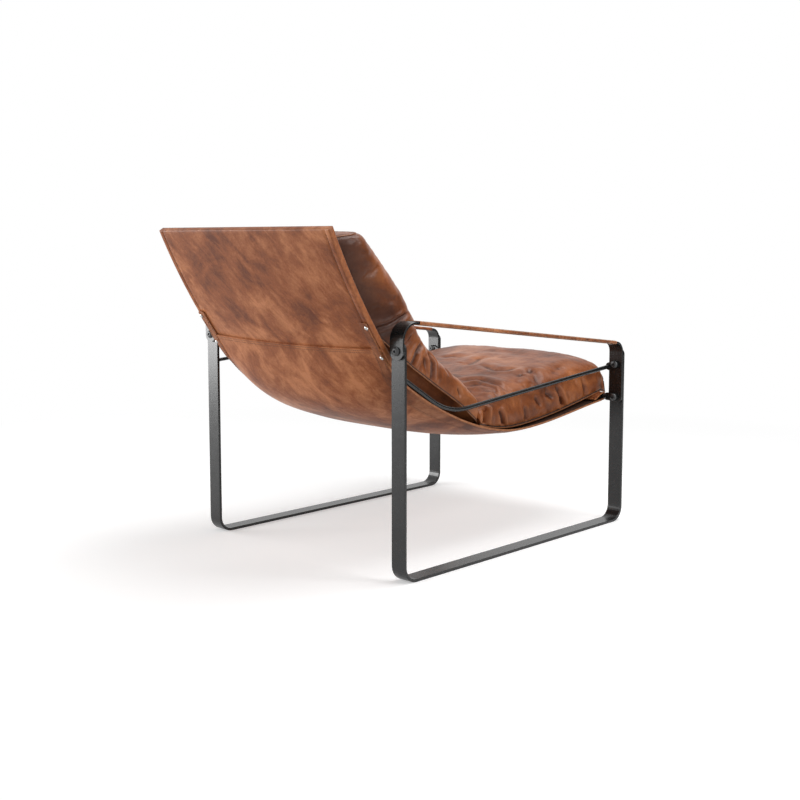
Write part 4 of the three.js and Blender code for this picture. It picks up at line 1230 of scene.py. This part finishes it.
def makeLamp(name, spec):
    bpy.ops.object.light_add(type="AREA")
    lamp = bpy.context.object
    lamp.name = name
    lamp.location = spec["place"]
    lamp.rotation_mode = "QUATERNION"
    lamp.rotation_quaternion = (Vector(spec["aim"]) - Vector(spec["place"])).to_track_quat("-Z", "Y")
    lamp.data.shape = "RECTANGLE"
    lamp.data.size, lamp.data.size_y = spec["size"]
    lamp.data.energy = spec["power"]


# a black flag beside the view, which gives the steel its dark edges
def makeFlag(spec):
    bpy.ops.mesh.primitive_plane_add(size=1)
    flag = bpy.context.object
    flag.name = "studio_flag"
    flag.scale = (*spec["size"], 1)
    flag.location = spec["place"]
    flag.rotation_mode = "QUATERNION"
    x, y, z = spec["place"]
    flag.rotation_quaternion = Vector((-x, -y, 0)).to_track_quat("Z", "Y")
    flag.visible_camera = False
    material, tree, shader = newTree("flag_cloth")
    tone = objectNoise(tree, 40.0)
    shade = spec["tone"]
    colour = colourRamp(tree, tone, [(0.3, (shade,) * 3), (0.7, (shade * 1.3,) * 3)])
    tree.links.new(colour, shader.inputs["Base Color"])
    shader.inputs["Roughness"].default_value = 0.95
    flag.data.materials.append(material)


def makeStage(spec):
    bpy.ops.mesh.primitive_plane_add(size=spec["floorSize"])
    floor = bpy.context.object
    floor.name = "studio_floor"
    material, tree, shader = newTree("pale_floor")
    shader.inputs["Base Color"].default_value = (*spec["floorTone"], 1)
    shader.inputs["Roughness"].default_value = 0.9
    shader.inputs["Specular IOR Level"].default_value = 0.0
    path = tree.nodes.new("ShaderNodeLightPath")
    seen = seenDirectly(tree, path)
    glow = addNode(tree, "ShaderNodeMath", {1: spec["floorGlow"]}, operation="MULTIPLY")
    tree.links.new(seen, glow.inputs[0])
    shader.inputs["Emission Color"].default_value = (1, 1, 1, 1)
    tree.links.new(glow.outputs[0], shader.inputs["Emission Strength"])
    place = tree.nodes.new("ShaderNodeTexCoord")
    reach = addNode(tree, "ShaderNodeVectorMath", operation="LENGTH")
    tree.links.new(place.outputs["Object"], reach.inputs[0])
    far = mapRange(tree, reach.outputs["Value"], 0.9, 2.2)
    white = addNode(tree, "ShaderNodeEmission", {"Strength": 1.0})
    share = addNode(tree, "ShaderNodeMath", operation="MULTIPLY")
    tree.links.new(far, share.inputs[0])
    tree.links.new(seen, share.inputs[1])
    blend = tree.nodes.new("ShaderNodeMixShader")
    tree.links.new(share.outputs[0], blend.inputs["Fac"])
    tree.links.new(shader.outputs["BSDF"], blend.inputs[1])
    tree.links.new(white.outputs["Emission"], blend.inputs[2])
    tree.links.new(blend.outputs["Shader"], tree.nodes["Material Output"].inputs["Surface"])
    floor.data.materials.append(material)

    world = bpy.data.worlds.new("studio")
    scene.world = world
    world.use_nodes = True
    tree = world.node_tree
    path = tree.nodes.new("ShaderNodeLightPath")
    soft = tree.nodes["Background"]
    soft.inputs["Color"].default_value = (1, 1, 1, 1)
    soft.inputs["Strength"].default_value = spec["worldLight"]
    clear = addNode(tree, "ShaderNodeBackground", {"Color": (1, 1, 1, 1), "Strength": 1.0})
    blend = tree.nodes.new("ShaderNodeMixShader")
    tree.links.new(seenDirectly(tree, path), blend.inputs["Fac"])
    tree.links.new(soft.outputs["Background"], blend.inputs[1])
    tree.links.new(clear.outputs["Background"], blend.inputs[2])
    tree.links.new(blend.outputs["Shader"], tree.nodes["World Output"].inputs["Surface"])


def seenDirectly(tree, path):
    first = addNode(tree, "ShaderNodeMath", operation="MAXIMUM")
    tree.links.new(path.outputs["Is Camera Ray"], first.inputs[0])
    tree.links.new(path.outputs["Is Glossy Ray"], first.inputs[1])
    second = addNode(tree, "ShaderNodeMath", operation="MAXIMUM")
    tree.links.new(first.outputs[0], second.inputs[0])
    tree.links.new(path.outputs["Is Transmission Ray"], second.inputs[1])
    return second.outputs[0]


makeStage(stageSpec)
makeFlag(flagSpec)
for name, spec in lampSpec.items():
    makeLamp(name, spec)
print("stage lit")
